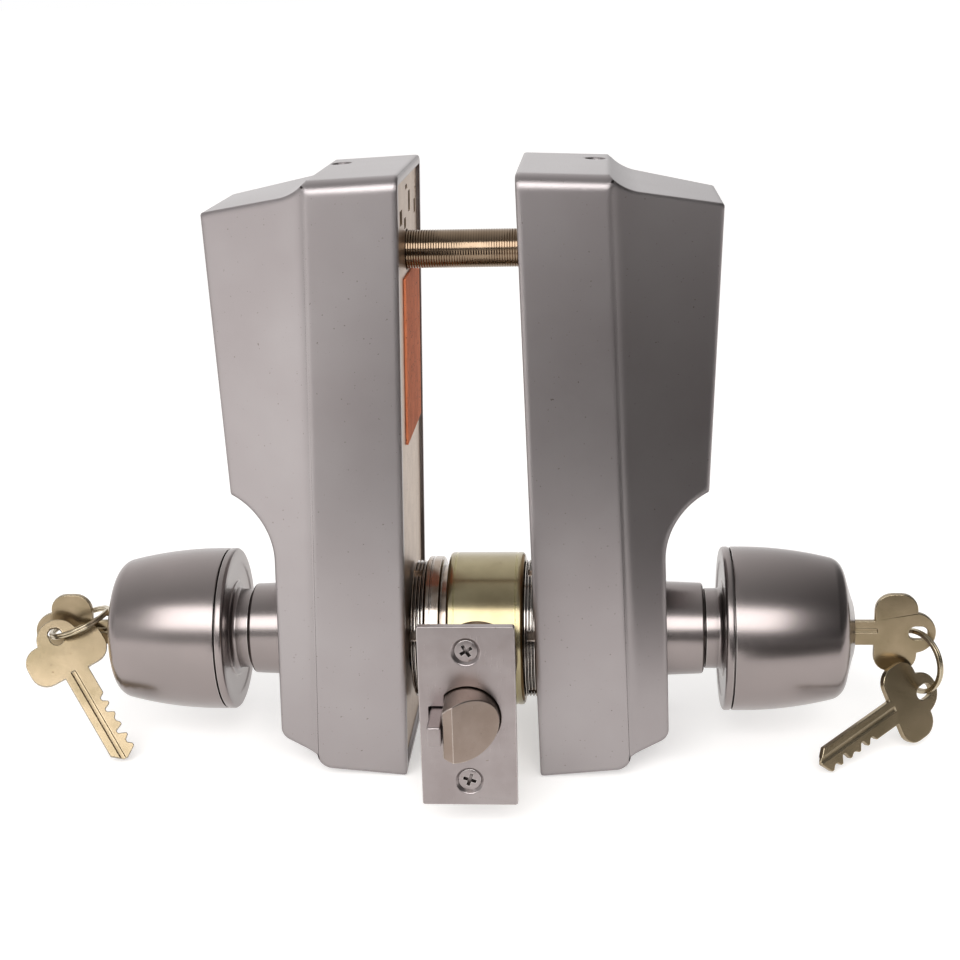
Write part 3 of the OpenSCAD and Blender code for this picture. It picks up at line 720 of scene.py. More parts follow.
    def with_painted_shade(self, tree: bpy.types.NodeTree, colour: bpy.types.NodeSocket) -> bpy.types.NodeSocket:
        """Paints shade into tight corners and grooves, where ambient occlusion finds them.

        Args:
            tree: Material's nodes.
            colour: Colour so far.

        Returns:
            Colour with the dirt.
        """
        # Ambient occlusion finds corners and grooves, and the colour is painted there as shade
        hidden = add_node(tree, "AmbientOcclusion", {"Distance": self.dirt_mm * MM},
                          samples=6, only_local=True)
        mask = add_node(tree, "MapRange", {
            "Value": hidden.outputs["AO"], "From Min": PAINTED_SHADE_RANGE[0], "From Max": PAINTED_SHADE_RANGE[1],
            "To Max": PAINTED_SHADE_SHARE})
        return add_node(tree, "Mix", {
            0: mask.outputs[0], 6: colour, 7: linear(self.dirt)}, data_type="RGBA").outputs[2]


# In the finishes below, the edge colour is painted along edges as a highlight, and as shade on the case where
# it is dark; the colour for tight corners is painted as shade into corners and grooves.
# Satin chrome on die cast zinc: neutral grey with faint patches and pinholes, with painted shade along its
# edges and in its corners.
CASE_CHROME = Finish("satin_chrome", "#a09a9a", "#999292", 0.34, patch_mm=46, grain_mm=0.4, grain_depth=0.03,
                     bump=0.03, speck="#756c6a", speck_mm=0.8, speck_share=0.76,
                     edge="#6a6260", painted_edge_mm=0.5, dirt="#332b27", dirt_mm=2.2, soft_mm=2.4)
# Satin chrome on turned brass: smooth, so that the lamp draws one band along the knob; painted highlight on
# its edges, near black painted shade in its recesses.
KNOB_CHROME = Finish("knob_chrome", "#938a88", "#8d8583", 0.26, patch_mm=30, grain_mm=0.5, grain_depth=0.01,
                     bump=0.0, speck="#7c736f", speck_mm=0.6, speck_share=0.78,
                     edge="#e6e1dd", painted_edge_mm=0.3, dirt="#0e0b09", dirt_mm=6.0)
# Satin nickel plate on pressed steel: pale and a little warm, with fine upright brush marks.
LATCH_NICKEL = Finish("latch_nickel", "#9a9291", "#908786", 0.31, patch_mm=12, grain_mm=0.35,
                      grain=Grain.UPRIGHT, grain_depth=0.04, bump=0.03, speck="#857b74", speck_mm=0.8,
                      speck_share=0.76, edge="#ece7e3", painted_edge_mm=0.3, dirt="#2b231d", dirt_mm=1.8)
# The same plate where the strike rubs it: worn through to a duller brown.
BOLT_NICKEL = Finish("latch_bolt_worn", "#91837a", "#87786e", 0.3, patch_mm=10, grain_mm=0.4,
                     grain_depth=0.03, bump=0.02, speck="#6d6058", speck_mm=0.8, speck_share=0.76,
                     edge="#d9d0ca", painted_edge_mm=0.4, dirt="#2b231d", dirt_mm=1.8)
# Bright zinc plate on sheet steel: beige grey with faint spangle.
PLATE_ZINC = Finish("plate_zinc", "#b09b87", "#a38d79", 0.36, patch_mm=7, grain_mm=0.5, grain_depth=0.05,
                    bump=0.04, speck="#77624f", speck_mm=1.4, speck_share=0.72, edge="#d9cdbf", painted_edge_mm=0.25)
# Yellow chromate on zinc: olive with a greasy shine.
YELLOW_ZINC = Finish("yellow_zinc", "#9d9275", "#8e8266", 0.2, patch_mm=16, grain_mm=0.4, grain_depth=0.03,
                     bump=0.01, speck="#5f5134", speck_mm=1.1, speck_share=0.76,
                     edge="#d8cf9f", painted_edge_mm=0.3, dirt="#2b2215", dirt_mm=1.5)
# Bright nickel on turned steel: a near mirror, with a painted highlight on its edges and near black painted
# shade in the thread and recesses.
BRIGHT_NICKEL = Finish("bright_nickel", "#b0a59b", "#958577", 0.17, patch_mm=8, grain_mm=0.3,
                       grain_depth=0.04, bump=0.02, edge="#f0ece8", painted_edge_mm=0.25, dirt="#1a100a", dirt_mm=3.0)
# Passivated steel pipe: painted brown shade in the thread's roots, a pale yellow painted highlight on its
# crests.
CONDUIT_STEEL = Finish("passivated_steel", "#877562", "#746250", 0.16, patch_mm=12, grain_mm=0.4,
                       grain_depth=0.03, bump=0.01, edge="#d8c8a4", painted_edge_mm=0.15, dirt="#2a1c10", dirt_mm=0.6)
# Nickel silver: cut keys, warm grey brown, with a painted highlight along the edges and painted shade in the
# corners.
KEY_SILVER = Finish("key_nickel_silver", "#98886f", "#887a61", 0.25, patch_mm=9, grain_mm=0.3,
                    grain_depth=0.02, bump=0.03, speck="#6b583c", speck_mm=0.9, speck_share=0.74,
                    edge="#e2d8bf", painted_edge_mm=0.3, dirt="#33261a", dirt_mm=1.2)
# Turned brass with a worn face.
PLUG_BRASS = Finish("plug_brass", "#b3935a", "#a3834c", 0.25, patch_mm=5, grain_mm=0.3, grain_depth=0.04,
                    bump=0.02)
# Nickel plated spring wire.
RING_STEEL = Finish("ring_steel", "#b9ad97", "#a3967d", 0.2, patch_mm=4, grain_mm=0.3, grain_depth=0.04,
                    bump=0.01, dirt="#3a2e20", dirt_mm=0.6)
# Spring steel, drawn and blued.
SPRING_STEEL = Finish("spring_steel", "#77716a", "#5c5650", 0.35, patch_mm=5)
# Satin stainless sheet with upright brush marks.
PAD_STEEL = Finish("pad_steel", "#8f8c89", "#85827f", 0.34, patch_mm=15, grain_mm=0.3, grain=Grain.UPRIGHT,
                   grain_depth=0.07, bump=0.04, edge="#c9c5c1", painted_edge_mm=0.2)
# Bright chrome on moulded buttons.
BUTTON_CHROME = Finish("button_chrome", "#c4c1be", "#b9b6b3", 0.14, patch_mm=4, grain_mm=0.25,
                       grain_depth=0.03, bump=0.01, edge="#f2f0ee", painted_edge_mm=0.15, dirt="#26221f", dirt_mm=0.8)
# Enamel on the digits: near black with a low sheen.
DIGIT_ENAMEL = Finish("button_chrome_digit", "#1d1c1e", "#262527", 0.45, metallic=0.0, patch_mm=2)
# Vulcanised fibre: dull orange brown board, mottled by its rag pulp.
FIBRE = Finish("fibre_sheet", "#e0845c", "#cf7550", 0.75, metallic=0.0, patch_mm=6, grain_mm=0.5,
               grain_depth=0.06, bump=0.12, speck="#8b4735", speck_mm=1.2, speck_share=0.68)
# Green solder resist on glass cloth.
SOLDER_RESIST = Finish("circuit_green", "#2f5d3a", "#264c30", 0.4, metallic=0.0, patch_mm=5, grain_mm=0.6,
                       bump=0.1)
# Black moulded tray and wrapped cells.
CELL_BLACK = Finish("battery_black", "#333336", "#28282a", 0.5, metallic=0.0, patch_mm=8, grain_mm=0.4,
                    bump=0.1)

NODE_FINISHES: dict[str, Finish] = {
    finish.slot: finish for finish in (
        CASE_CHROME, KNOB_CHROME, LATCH_NICKEL, PLATE_ZINC, YELLOW_ZINC, BRIGHT_NICKEL, CONDUIT_STEEL,
        KEY_SILVER, PLUG_BRASS, RING_STEEL, SPRING_STEEL, PAD_STEEL, BUTTON_CHROME, FIBRE, SOLDER_RESIST,
        CELL_BLACK)
}


# Housings


@dataclass(frozen=True)
class Housing:
    """Cast housing: a deep base against the door, and a hood on it that carries the keypad."""

    side: Side
    door_gap: float = 41.3
    lean: float = 1.35
    width: float = 66.2
    top: float = 153.7
    drop: float = 37.9
    wall: float = 3.0
    base_depth: float = 27.2
    base_flare: float = 1.9
    base_fall: float = 1.8
    hood_depth: float = 60.8
    face_setback: float = 5.5
    hood_fall: float = 12.5
    hood_slope: float = 12.0
    hood_draft: float = 16.0
    plan_back: float = 8.0
    top_cove: float = 8.8
    side_cove: float = 3.6
    root_step: float = 2.1
    body_depth: float = 41.4
    body_drop: float = 28.4
    scoop_r: float = 22.3
    scoop_height: float = 32.8
    foot_r: float = 5.0
    foot_rise: float = 1.7
    body_r: float = 3.9
    pad_w: float = 39.0
    pad_h: float = 74.0
    pad_recess: float = 3.2
    pad_ledge: float = 1.8
    pad_corner: float = 3.0
    pad_rim: float = 3.0
    pad_rest_w: float = 2.0
    pad_rest_h: float = 4.0
    knob_hole_r: float = 17.1
    edge_r: float = 0.55
    corner_r: float = 1.1
    mouth_r: float = 0.25
    shoulder_r: float = 4.4
    boss_r: float = 4.0
    boss_short: float = 5.0
    boss_closed: float = 2.0
    boss_sunk: float = 0.8
    boss_low: float = 1.0
    boss_high: float = 3.5
    screw_r: float = 1.5
    screw_head_r: float = 2.9
    screw_gap: float = 0.3
    screw_fit: float = 0.05
    screw_turn: float = 25.0
    plate_screw_length: float = 16.0
    plate_inset: float = 1.0
    plate_t: float = 1.2
    top_screw_y: float = 15.0
    top_screw_back: float = 4.0
    top_screw_depth: float = 2.4
    top_screw_head_r: float = 2.65
    top_screw_length: float = 6.0
    arc_steps: int = 20

    @property
    def ridge_z(self) -> float:
        """Height of the base's outer top edge."""
        return self.top - self.base_fall

    @property
    def flare(self) -> float:
        """Outward lean of the base's front in degrees."""
        return math.degrees(math.atan(self.base_flare / (self.ridge_z + self.drop - self.foot_r)))

    @property
    def face_top_z(self) -> float:
        """Height of the top of the keypad face."""
        return self.top - self.hood_fall

    @property
    def scoop_x(self) -> float:
        """Depth of the scoop's centre."""
        return self.body_depth + self.scoop_r

    @property
    def top_screw_x(self) -> float:
        """Depth of the screw in the housing's top."""
        return self.base_depth - self.top_screw_back

    @property
    def inner(self) -> float:
        """Depth of the back plate's inner side, from which the bosses stand."""
        return self.plate_inset + self.plate_t

    @property
    def boss_length(self) -> float:
        """Length of the bosses that hold the back plate."""
        return self.base_depth - self.wall - self.boss_short

    @property
    def face_low_z(self) -> float:
        """Height of the lower corner of the keypad face."""
        across = self.scoop_x - self.hood_depth + self.face_setback
        return self.scoop_height + math.sqrt(self.scoop_r ** 2 - across ** 2)

    @property
    def face_lean(self) -> float:
        """Lean of the keypad face in degrees."""
        return math.degrees(math.atan(self.face_setback / (self.face_top_z - self.face_low_z)))

    @property
    def pad_mid(self) -> float:
        """Place of the keypad's middle down the face from its top."""
        return -(self.face_top_z - self.face_low_z) / math.cos(math.radians(self.face_lean)) / 2

    def stand(self) -> Matrix:
        """Place of the leaning housing in the lock."""
        return self.side.flipped() @ shifted(self.door_gap / 2) @ turned_by(-self.lean, "Y")

    def face(self) -> Matrix:
        """Place of the keypad face in the housing: X out of it, Z up it from its top corner."""
        return shifted(self.hood_depth, 0, self.face_top_z) @ turned_by(self.face_lean, "Y")

    def roof(self, x: float, inset: float) -> float:
        """Height of the base's top at a depth."""
        return self.top - inset - x * self.base_fall / self.base_depth

    @staticmethod
    def cove(start: Point, end: Point, normal: Point, inset: float, steps: int) -> Profile:
        """Cove that starts at a point and runs into a line.

        Args:
            start: First point.
            end: Point where it meets the line.
            normal: Normal of the line.
            inset: Distance moved into the wall.
            steps: Steps along it.

        Returns:
            Points of the cove.
        """
        a, b, n = Vector(start), Vector(end), Vector(normal)
        radius = (a - b).dot(a - b) / (2 * (a - b).dot(n))
        centre = b + radius * n
        from_a = math.degrees(math.atan2(a.y - centre.y, a.x - centre.x))
        to_b = math.degrees(math.atan2(b.y - centre.y, b.x - centre.x))
        return arc(centre, radius + inset, from_a, to_b, steps)

    def side_outline(self, inset: float, start: float) -> Profile:
        """Outline from the side, as depth and height.

        Args:
            inset: Distance inside the outer surface.
            start: Depth at which it starts.

        Returns:
            Points of the outline.
        """
        slope, lean = math.radians(self.hood_slope), math.radians(self.face_lean)
        cove_x = self.base_depth + self.top_cove
        cove_z = self.face_top_z + (self.hood_depth - cove_x) * math.tan(slope)
        normal = (math.sin(slope), math.cos(slope))
        top = self.cove((self.base_depth, self.ridge_z), (cove_x, cove_z), normal, inset, 10)
        k = inset / (1 + math.sin(slope - lean))
        corner = (self.hood_depth - k * (math.sin(slope) + math.cos(lean)),
                  self.face_top_z - k * (math.cos(slope) - math.sin(lean)))
        reach = -(self.scoop_x - self.hood_depth) * math.cos(lean) + (
            self.scoop_height - self.face_top_z) * math.sin(lean)
        meet = math.degrees(math.acos((reach - inset) / (self.scoop_r + inset))) - self.face_lean
        foot_x = self.base_depth + self.base_flare
        return [
            (start, -self.drop + inset), (start, self.roof(start, inset)),
            *[(x, min(z, self.roof(x, inset))) for x, z in top],
            corner,
            *arc((self.scoop_x, self.scoop_height), self.scoop_r + inset, meet, 180, self.arc_steps),
            *arc((self.body_depth - self.body_r, -self.body_drop + self.body_r), self.body_r - inset,
                 0, -70, self.arc_steps // 2),
            *arc((foot_x - self.foot_r, -self.drop + self.foot_rise + self.foot_r), self.foot_r - inset,
                 40 if inset > 0 else -6, -86, self.arc_steps // 2),
        ]

    def plan_outline(self, inset: float, start: float) -> Profile:
        """Outline from above, as depth and width.

        Args:
            inset: Distance inside the outer surface.
            start: Depth at which it starts.

        Returns:
            Points of the outline.
        """
        draft = math.radians(self.hood_draft)
        end = (self.base_depth + self.side_cove, self.width / 2 - self.root_step)
        tip = 1.2 * self.hood_depth
        half = [
            (start, self.width / 2 - inset),
            *[(x, min(y, self.width / 2 - inset)) for x, y in self.cove(
                (self.base_depth, self.width / 2), end, (math.sin(draft), math.cos(draft)), inset, 5)],
            (tip, end[1] - inset / math.cos(draft) - (tip - end[0]) * math.tan(draft)),
        ]
        return half + [(x, -y) for x, y in reversed(half)]

    def form(self, name: str, inset: float, start: float) -> Work:
        """Whole form of the housing, or of its hollow when an inset is given.

        Args:
            name: Name of the piece.
            inset: Distance inside the outer surface.
            start: Depth at which it starts.

        Returns:
            The form.
        """
        reach = self.width + 2
        profile = self.side_outline(inset, start)
        plan = self.plan_outline(inset, start - self.plan_back)
        if inset == 0:
            profile, plan = softened(profile, self.corner_r), softened(plan, self.corner_r)
        piece = Work.drawn(name, [(x, -reach / 2, z) for x, z in profile]).extruded((0, reach, 0))
        # The plan's column leans with the base's front and stands out past the form at both ends
        tall = self.top + self.drop
        column = Work.drawn(name + "_plan", [(x, y, 0) for x, y in plan]).extruded((0, 0, 1.35 * tall))
        column.placed(shifted(self.base_depth, 0, self.ridge_z) @ turned_by(-self.flare, "Y")
                      @ shifted(-self.base_depth, 0, -1.15 * tall))
        piece.combined([column], "INTERSECT")
        return piece.cut(self.shoulder(1), self.shoulder(-1)) if inset == 0 else piece

    def shoulder(self, way: int) -> Work:
        """Cutter that rounds the long top edge of the base on one side.

        Args:
            way: Sign of the side along Y.

        Returns:
            The cutter, along the fall of the roof.
        """
        r, half, long = self.shoulder_r, self.width / 2, self.base_depth + 5 * PAST
        section = [(half + PAST, PAST), (half - r, PAST), *arc((half - r, -r), r, 90, 0, 8),
                   (half + PAST, -r)]
        cutter = Work.drawn(f"shoulder_{way}", [
            (-PAST, way * y, self.roof(-PAST, 0) + z) for y, z in section])
        return cutter.extruded((long, 0, -long * self.base_fall / self.base_depth))

    def slab(self, name: str, width: float, height: float, corner: float, start: float, end: float) -> Work:
        """Slab with rounded corners, from one depth to another below the keypad face."""
        points = [(-end, y, self.pad_mid + z) for y, z in rounded_box(width, height, corner)]
        return Work.drawn(name, points).extruded((end - start, 0, 0)).placed(self.face())

    def in_detail(self, spot: Vector) -> bool:
        """Whether a point lies on the mouth of the recess, of the knob hole or of the screw's pocket.

        Args:
            spot: Point in the housing's frame.

        Returns:
            True for a point on one of the three mouths.
        """
        near, wide = 0.05, 0.1
        local = self.face().inverted() @ spot
        on_recess = abs(local.x) < near and abs(local.y) < self.pad_w / 2 + wide and (
            abs(local.z - self.pad_mid) < self.pad_h / 2 + wide)
        on_hole = abs(spot.x - self.body_depth) < near and (
            math.hypot(spot.y, spot.z) < self.knob_hole_r + wide)
        on_pocket = spot.z > self.top - self.wall and math.hypot(
            spot.x - self.top_screw_x, spot.y - self.top_screw_y) < self.screw_head_r + self.screw_gap + wide
        return on_recess or on_hole or on_pocket

    def boss_places(self) -> list[tuple[float, float]]:
        """Places of the four bosses that hold the back plate.

        Returns:
            Sideways place and height of each.
        """
        y = self.width / 2 - self.wall - self.boss_r + self.boss_sunk
        low = -self.drop + self.wall + self.boss_r + self.boss_low
        high = self.top - self.wall - self.boss_r - self.boss_high
        return [(side * y, z) for side in (-1, 1) for z in (low, high)]

    def build(self) -> None:
        """Builds the housing and the screws in it."""
        self.build_shell()
        self.build_screws()

    def build_shell(self) -> None:
        """Builds the cast shell with its keypad recess, knob hole and screw pocket."""
        word = self.side.word
        shell = self.form(word + "_housing_shell", 0, 0).bevelled(self.edge_r, 4, 32)
        # The rounding's mitred corners stand out a little at the sides and are cut off there
        for way in (-1, 1):
            shell.sliced((0, way * (self.width / 2 + 0.01), 0), (0, way, 0))
        shell.cut(self.form("hollow", self.wall, -PAST))
        ledge = self.pad_recess + self.pad_ledge
        shell.fused(self.slab("pad_rim", self.pad_w + 2 * self.pad_rim, self.pad_h + 2 * self.pad_rim,
                              self.pad_corner + self.pad_rim, self.wall - PAST / 2, ledge))
        inner, boss_end = self.inner, self.inner + self.boss_length
        for i, (y, z) in enumerate(self.boss_places()):
            shell.fused(Work.rod(f"boss_{i}", (inner, y, z), (boss_end, y, z), self.boss_r, 32))
        shell.cut(self.slab("recess", self.pad_w, self.pad_h, self.pad_corner, -PAST, self.pad_recess))
        shell.cut(self.slab("window", self.pad_w - 2 * self.pad_rest_w, self.pad_h - 2 * self.pad_rest_h,
                            self.pad_corner, 0, ledge + PAST))
        shell.cut(Work.rod("knob_hole", (self.body_depth - self.wall - PAST, 0, 0),
                           (self.body_depth + PAST, 0, 0), self.knob_hole_r, 128))
        x, y = self.top_screw_x, self.top_screw_y
        low = self.roof(x, self.top_screw_depth)
        shell.cut(Work.rod("pocket", (x, y, low), (x, y, low + 10 * PAST),
                           self.screw_head_r + self.screw_gap, 48))
        for i, (y, z) in enumerate(self.boss_places()):
            shell.cut(Work.rod(f"hole_{i}", (0, y, z), (boss_end - self.boss_closed, y, z), self.screw_r, 24))
        shell.bevelled_where(self.in_detail, self.mouth_r, 2, 50)
        shell.placed(self.stand()).finished(CASE_CHROME, word + "_housing", [word + "_housing"])

    def build_screws(self) -> None:
        """Builds the screw on the top and the four countersunk screws of the back plate."""
        word = self.side.word
        top = CrossScrew(head_r=self.top_screw_head_r, shank_r=self.screw_r, length=self.top_screw_length,
                         flat=False)
        screws = [top.build(f"{word}_screw_top").placed(
            shifted(self.top_screw_x, self.top_screw_y, self.roof(self.top_screw_x, self.top_screw_depth))
            @ turned_by(90, "Y"))]
        low = CrossScrew(head_r=self.screw_head_r, shank_r=self.screw_r - self.screw_fit,
                         length=self.plate_screw_length, flat=True)
        for i, (y, z) in enumerate(self.boss_places()):
            screws.append(low.build(f"{word}_screw_{i}").placed(
                shifted(self.plate_inset + self.screw_fit, y, z) @ turned_by(self.screw_turn * i, "X")))
        screws[0].joined(*screws[1:]).named(word + "_housing_screw_set").placed(self.stand()).finished(
            PLATE_ZINC, word + "_housing", [word + "_housing_screws"])


@dataclass(frozen=True)
class CrossScrew:
    """Cross recessed screw with its head's face at the origin, looking toward -X."""

    head_r: float
    shank_r: float
    length: float
    flat: bool
    head_h: float = 1.15
    dome: float = 1.5
    pitch: float = 1.2

    def build(self, name: str) -> Work:
        """Builds the screw.

        Args:
            name: Name of the piece.

        Returns:
            The screw along +X.
        """
        r, s, h = self.head_r, self.shank_r, self.head_h
        if self.flat:
            head = [(0.0, 0.0), (-0.02, r * 0.5), (0.0, r - 0.25), (0.12, r - 0.05), (0.28, r - 0.14), (h, s)]
        else:
            head = [(-self.dome, 0.0), (-1.45, r * 0.45), (-1.2, r * 0.8), (-0.85, r * 0.96), (-0.5, r),
                    (0.0, r), (0.0, s)]
        turns = int((self.length - 1.5) / self.pitch)
        thread = [(self.head_h + 0.3 + (i + d) * self.pitch, s - g)
                  for i in range(turns) for d, g in ((0.0, 0.0), (0.35, 0.25), (0.6, 0.25), (0.85, 0.0))]
        screw = Work.turned(name, head + thread + [(self.length, s * 0.7), (self.length, 0.0)],
                            closed=False, sides=48)
        face = 0.0 if self.flat else -self.dome
        arm, thick, deep = r * 0.58, r * 0.15, r * 0.42
        slot = Work.block(name + "_slot", (face - PAST, -arm, -thick), (face + deep, arm, thick))
        cross = Work.block(name + "_cross", (face - PAST, -thick, -arm), (face + deep, thick, arm))
        return screw.cut(slot, cross).bevelled(0.06, 1, 50)


# Keypads


@dataclass(frozen=True)
class Keypad:
    """Twelve push buttons of one housing, each with its digit."""

    housing: Housing
    button_r: float = 4.7
    flange_r: float = 5.25
    flange_back: float = 4.3
    flange_t: float = 0.8
    stem_r: float = 1.6
    stem_end: float = 6.2
    face_depth: float = 1.1
    pitch_y: float = 11.5
    pitch_z: float = 16.0
    digit_h: float = 5.2
    digit_t: float = 0.18
    digit_swell: float = 0.015
    digit_sunk: float = 0.14
    labels: tuple[tuple[str, str], ...] = (
        ("1", "1"), ("2", "2"), ("3", "3"), ("4", "4"), ("5", "5"), ("6", "6"),
        ("7", "7"), ("8", "8"), ("9", "9"), ("clear", "*"), ("0", "0"), ("enter", "#"))

    def blank(self) -> Work:
        """Turns one button without its digit, with its face toward +X.

        Returns:
            The blank.
        """
        r, face = self.button_r, -self.face_depth
        profile = [
            (-self.stem_end, 0.0), (-self.stem_end, self.stem_r - 0.2), (-self.stem_end + 0.2, self.stem_r),
            (-self.flange_back, self.stem_r), (-self.flange_back, self.flange_r - 0.1),
            (-self.flange_back + 0.1, self.flange_r), (-self.flange_back + self.flange_t, self.flange_r),
            (-self.flange_back + self.flange_t, r), (face - 0.9, r), (face - 0.45, r - 0.07),
            (face - 0.15, r - 0.25), (face, r - 0.6), (face - 0.02, r - 0.95), (face - 0.12, r - 1.3),
            (face - 0.2, r - 2.4), (face - 0.22, 0.0)]
        return Work.turned("button_blank", profile, closed=False, sides=64)

    def digit(self, text: str) -> Work:
        """Digit as a thin solid on the button's dished face.

        Args:
            text: Digit or sign to draw.

        Returns:
            The digit, reading from outside the door.
        """
        Work.clear()
        bpy.ops.object.text_add()
        curve = bpy.context.object.data
        curve.body, curve.size, curve.align_x, curve.align_y = text, self.digit_h, "CENTER", "CENTER"
        curve.extrude, curve.offset, curve.resolution_u = self.digit_t / 2, self.digit_swell, 6
        bpy.ops.object.convert(target="MESH")
        piece = Work(bpy.context.object, "digit").merged(0.002)
        stand = turned_by(90, "Z") @ turned_by(90, "X")
        if self.housing.side is Side.EXTERIOR:
            # The housing's frame is mirrored there, so the digit is mirrored with it and reads right
            stand = Matrix.Diagonal((1, -1, 1, 1)) @ stand
        return piece.placed(shifted(-self.face_depth - self.digit_sunk) @ stand)

    def build(self) -> None:
        """Builds the twelve buttons from one blank."""
        word = self.housing.side.word
        blank = self.blank()
        for i, (label, text) in enumerate(self.labels):
            column, row = i % 3 - 1, 1.5 - i // 3
            button = blank.doubled(f"{word}_keypad_button_{label}")
            button.obj.data.materials.append(BUTTON_CHROME.material())
            digit = self.digit(text)
            digit.obj.data.materials.append(DIGIT_ENAMEL.material())
            button.joined(digit)
            across = self.housing.side.value * column * self.pitch_y
            button.placed(self.housing.stand() @ self.housing.face()
                          @ shifted(0, across, self.housing.pad_mid + row * self.pitch_z))
            name = f"{word}_button_{label}"
            button.finished(BUTTON_CHROME, name, [name])
        bpy.data.objects.remove(blank.obj, do_unlink=True)


# Chassis


@dataclass(frozen=True)
class Chassis:
    """Drum, hubs with the adjusting ring, threaded collars and conduit between the housings."""

    drum_r: float = 25.35
    drum_left: float = -8.6
    drum_right: float = 16.3
    drum_wall: float = 1.4
    end_t: float = 2.0
    hub_r: float = 11.5
    hub_gap: float = 0.08
    hub_bore: float = 9.7
    hub_end: float = 71.45
    ring_r: float = 24.1
    ring_neck_r: float = 21.1
    ring_start: float = -15.8
    ring_end: float = -10.6
    collar_r: float = 22.7
    collar_end: float = 20.3
    thread_pitch: float = 1.0
    thread_deep: float = 0.75
    notch_w: float = 3.2
    notch_deep: float = 1.6
    notch_turn: float = 15.0
    conduit_r: float = 6.0
    conduit_bore: float = 4.6
    conduit_half: float = 26.65
    conduit_z: float = 127.3
    conduit_pitch: float = 0.8
    conduit_thread: float = 0.1
    conduit_plain: float = 0.3
    slot_low: tuple[float, float, float] = (-1.1, -26.35, -6.0)
    slot_high: tuple[float, float, float] = (4.9, -1.0, 6.0)

    def build(self) -> None:
        """Builds every piece of the chassis."""
        self.build_drum()
        self.build_hubs()
        self.build_collars()
        self.build_conduit()

    def build_drum(self) -> None:
        """Builds the pressed drum with its rolled edges and the slot for the latch's tail."""
        a, b, r, bore = self.drum_left, self.drum_right, self.drum_r, self.hub_r + self.hub_gap
        inner = r - self.drum_wall
        # Rolled edge with a fine groove beside it: distance from the drum's end and depth below its surface
        edge = [(0.0, 1.4), (0.12, 0.8), (0.45, 0.25), (1.0, 0.0),
                (2.2, 0.0), (2.35, 0.18), (2.6, 0.18), (2.75, 0.0)]
        profile = [
            (a, bore), *((a + along, r - deep) for along, deep in edge),
            *((b - along, r - deep) for along, deep in reversed(edge)), (b, bore),
            (b - self.end_t, bore), (b - self.end_t, inner), (a + self.end_t, inner), (a + self.end_t, bore)]
        drum = Work.turned("chassis_drum", profile, sides=160)
        drum.cut(Work.block("tail_slot", self.slot_low, self.slot_high))
        drum.finished(YELLOW_ZINC, "lock_core", ["chassis_case"])

    def build_hubs(self) -> None:
        """Builds the two hub tubes, the left one with its bright adjusting ring."""
        bore, r, a, b, ring = self.hub_bore, self.hub_r, self.ring_start, self.ring_end, self.ring_r
        end, chamfer = self.hub_end, 0.3
        # Rounded edge of the ring and the groove in it, given as the drum's are
        edge = [(0.0, 0.8), (0.25, 0.3), (0.6, 0.0)]
        groove = [(1.5, 0.0), (1.7, 0.35), (2.1, 0.35), (2.3, 0.0)]
        left = Work.turned("chassis_hub_set", [
            (-end, bore), (-end, r - chamfer), (-end + chamfer, r), (a, r),
            *((a + along, ring - deep) for along, deep in edge + groove),
            *((b - along, ring - deep) for along, deep in reversed(edge)),
            (b, self.ring_neck_r), (self.drum_left, self.ring_neck_r), (self.drum_left, bore)])
        right = Work.turned("hub_right", [
            (self.drum_right - self.end_t, bore), (self.drum_right - self.end_t, r),
            (end - chamfer, r), (end, r - chamfer), (end, bore)])
        left.joined(right).finished(BRIGHT_NICKEL, "lock_core", ["chassis_hubs"])

    def build_collars(self) -> None:
        """Builds the threaded collars, each with six spanner notches."""
        collars = []
        for sign, start in ((1, self.drum_right), (-1, -self.ring_start)):
            turns = round((self.collar_end - start) / self.thread_pitch)
            pitch = (self.collar_end - start) / turns
            low = self.collar_r - self.thread_deep
            thread = [(start + (i + d) * pitch, r) for i in range(turns)
                      for d, r in ((0.05, low), (0.4, self.collar_r), (0.6, self.collar_r), (0.95, low))]
            bore = self.hub_r + self.hub_gap
            profile = [(start, bore), *thread, (self.collar_end, bore)]
            collar = Work.turned(f"collar_{sign}", profile, sides=128)
            half = self.notch_w / 2
            for angle in range(0, 360, 60):
                notch = Work.block(f"notch_{angle}", (start + 1.2, -half, self.collar_r - self.notch_deep),
                                   (self.collar_end + PAST, half, self.collar_r + 2 * PAST))
                collar.cut(notch.placed(turned_by(angle + self.notch_turn, "X")))
            collars.append(collar.placed(Matrix.Diagonal((sign, 1, 1, 1))))
        collars[0].joined(collars[1]).named("chassis_thread_set").finished(
            BRIGHT_NICKEL, "lock_core", ["thread_collars"])

    def build_conduit(self) -> None:
        """Builds the threaded conduit from one turn of its thread, repeated along it."""
        count = int((2 * self.conduit_half - 2 * self.conduit_plain) / self.conduit_pitch)
        start = -count * self.conduit_pitch / 2
        low = self.conduit_r - self.conduit_thread
        wire = [(start + d * self.conduit_pitch, r) for d, r in (
            (0.0, low), (0.12, low), (0.42, self.conduit_r), (0.62, self.conduit_r), (0.92, low), (1.0, low))]
        thread = Work.turned("conduit", wire, closed=False, sides=72)
        thread.modified("ARRAY", count=count, use_relative_offset=False, use_constant_offset=True,
                        constant_offset_displace=(self.conduit_pitch, 0, 0), use_merge_vertices=True,
                        merge_threshold=0.01)
        half, bore, chamfer = self.conduit_half, self.conduit_bore, 0.4
        ends = Work.turned("conduit_ends", [
            (start, low), (-half + chamfer, low), (-half, low - chamfer), (-half, bore), (half, bore),
            (half, low - chamfer), (half - chamfer, low), (-start, low)], closed=False, sides=72)
        thread.joined(ends).merged(0.02).outward().named("conduit_threaded")
        thread.placed(shifted(0, 0, self.conduit_z))
        thread.finished(CONDUIT_STEEL, "lock_core", ["conduit_tube"], sharp=50)


# Latch


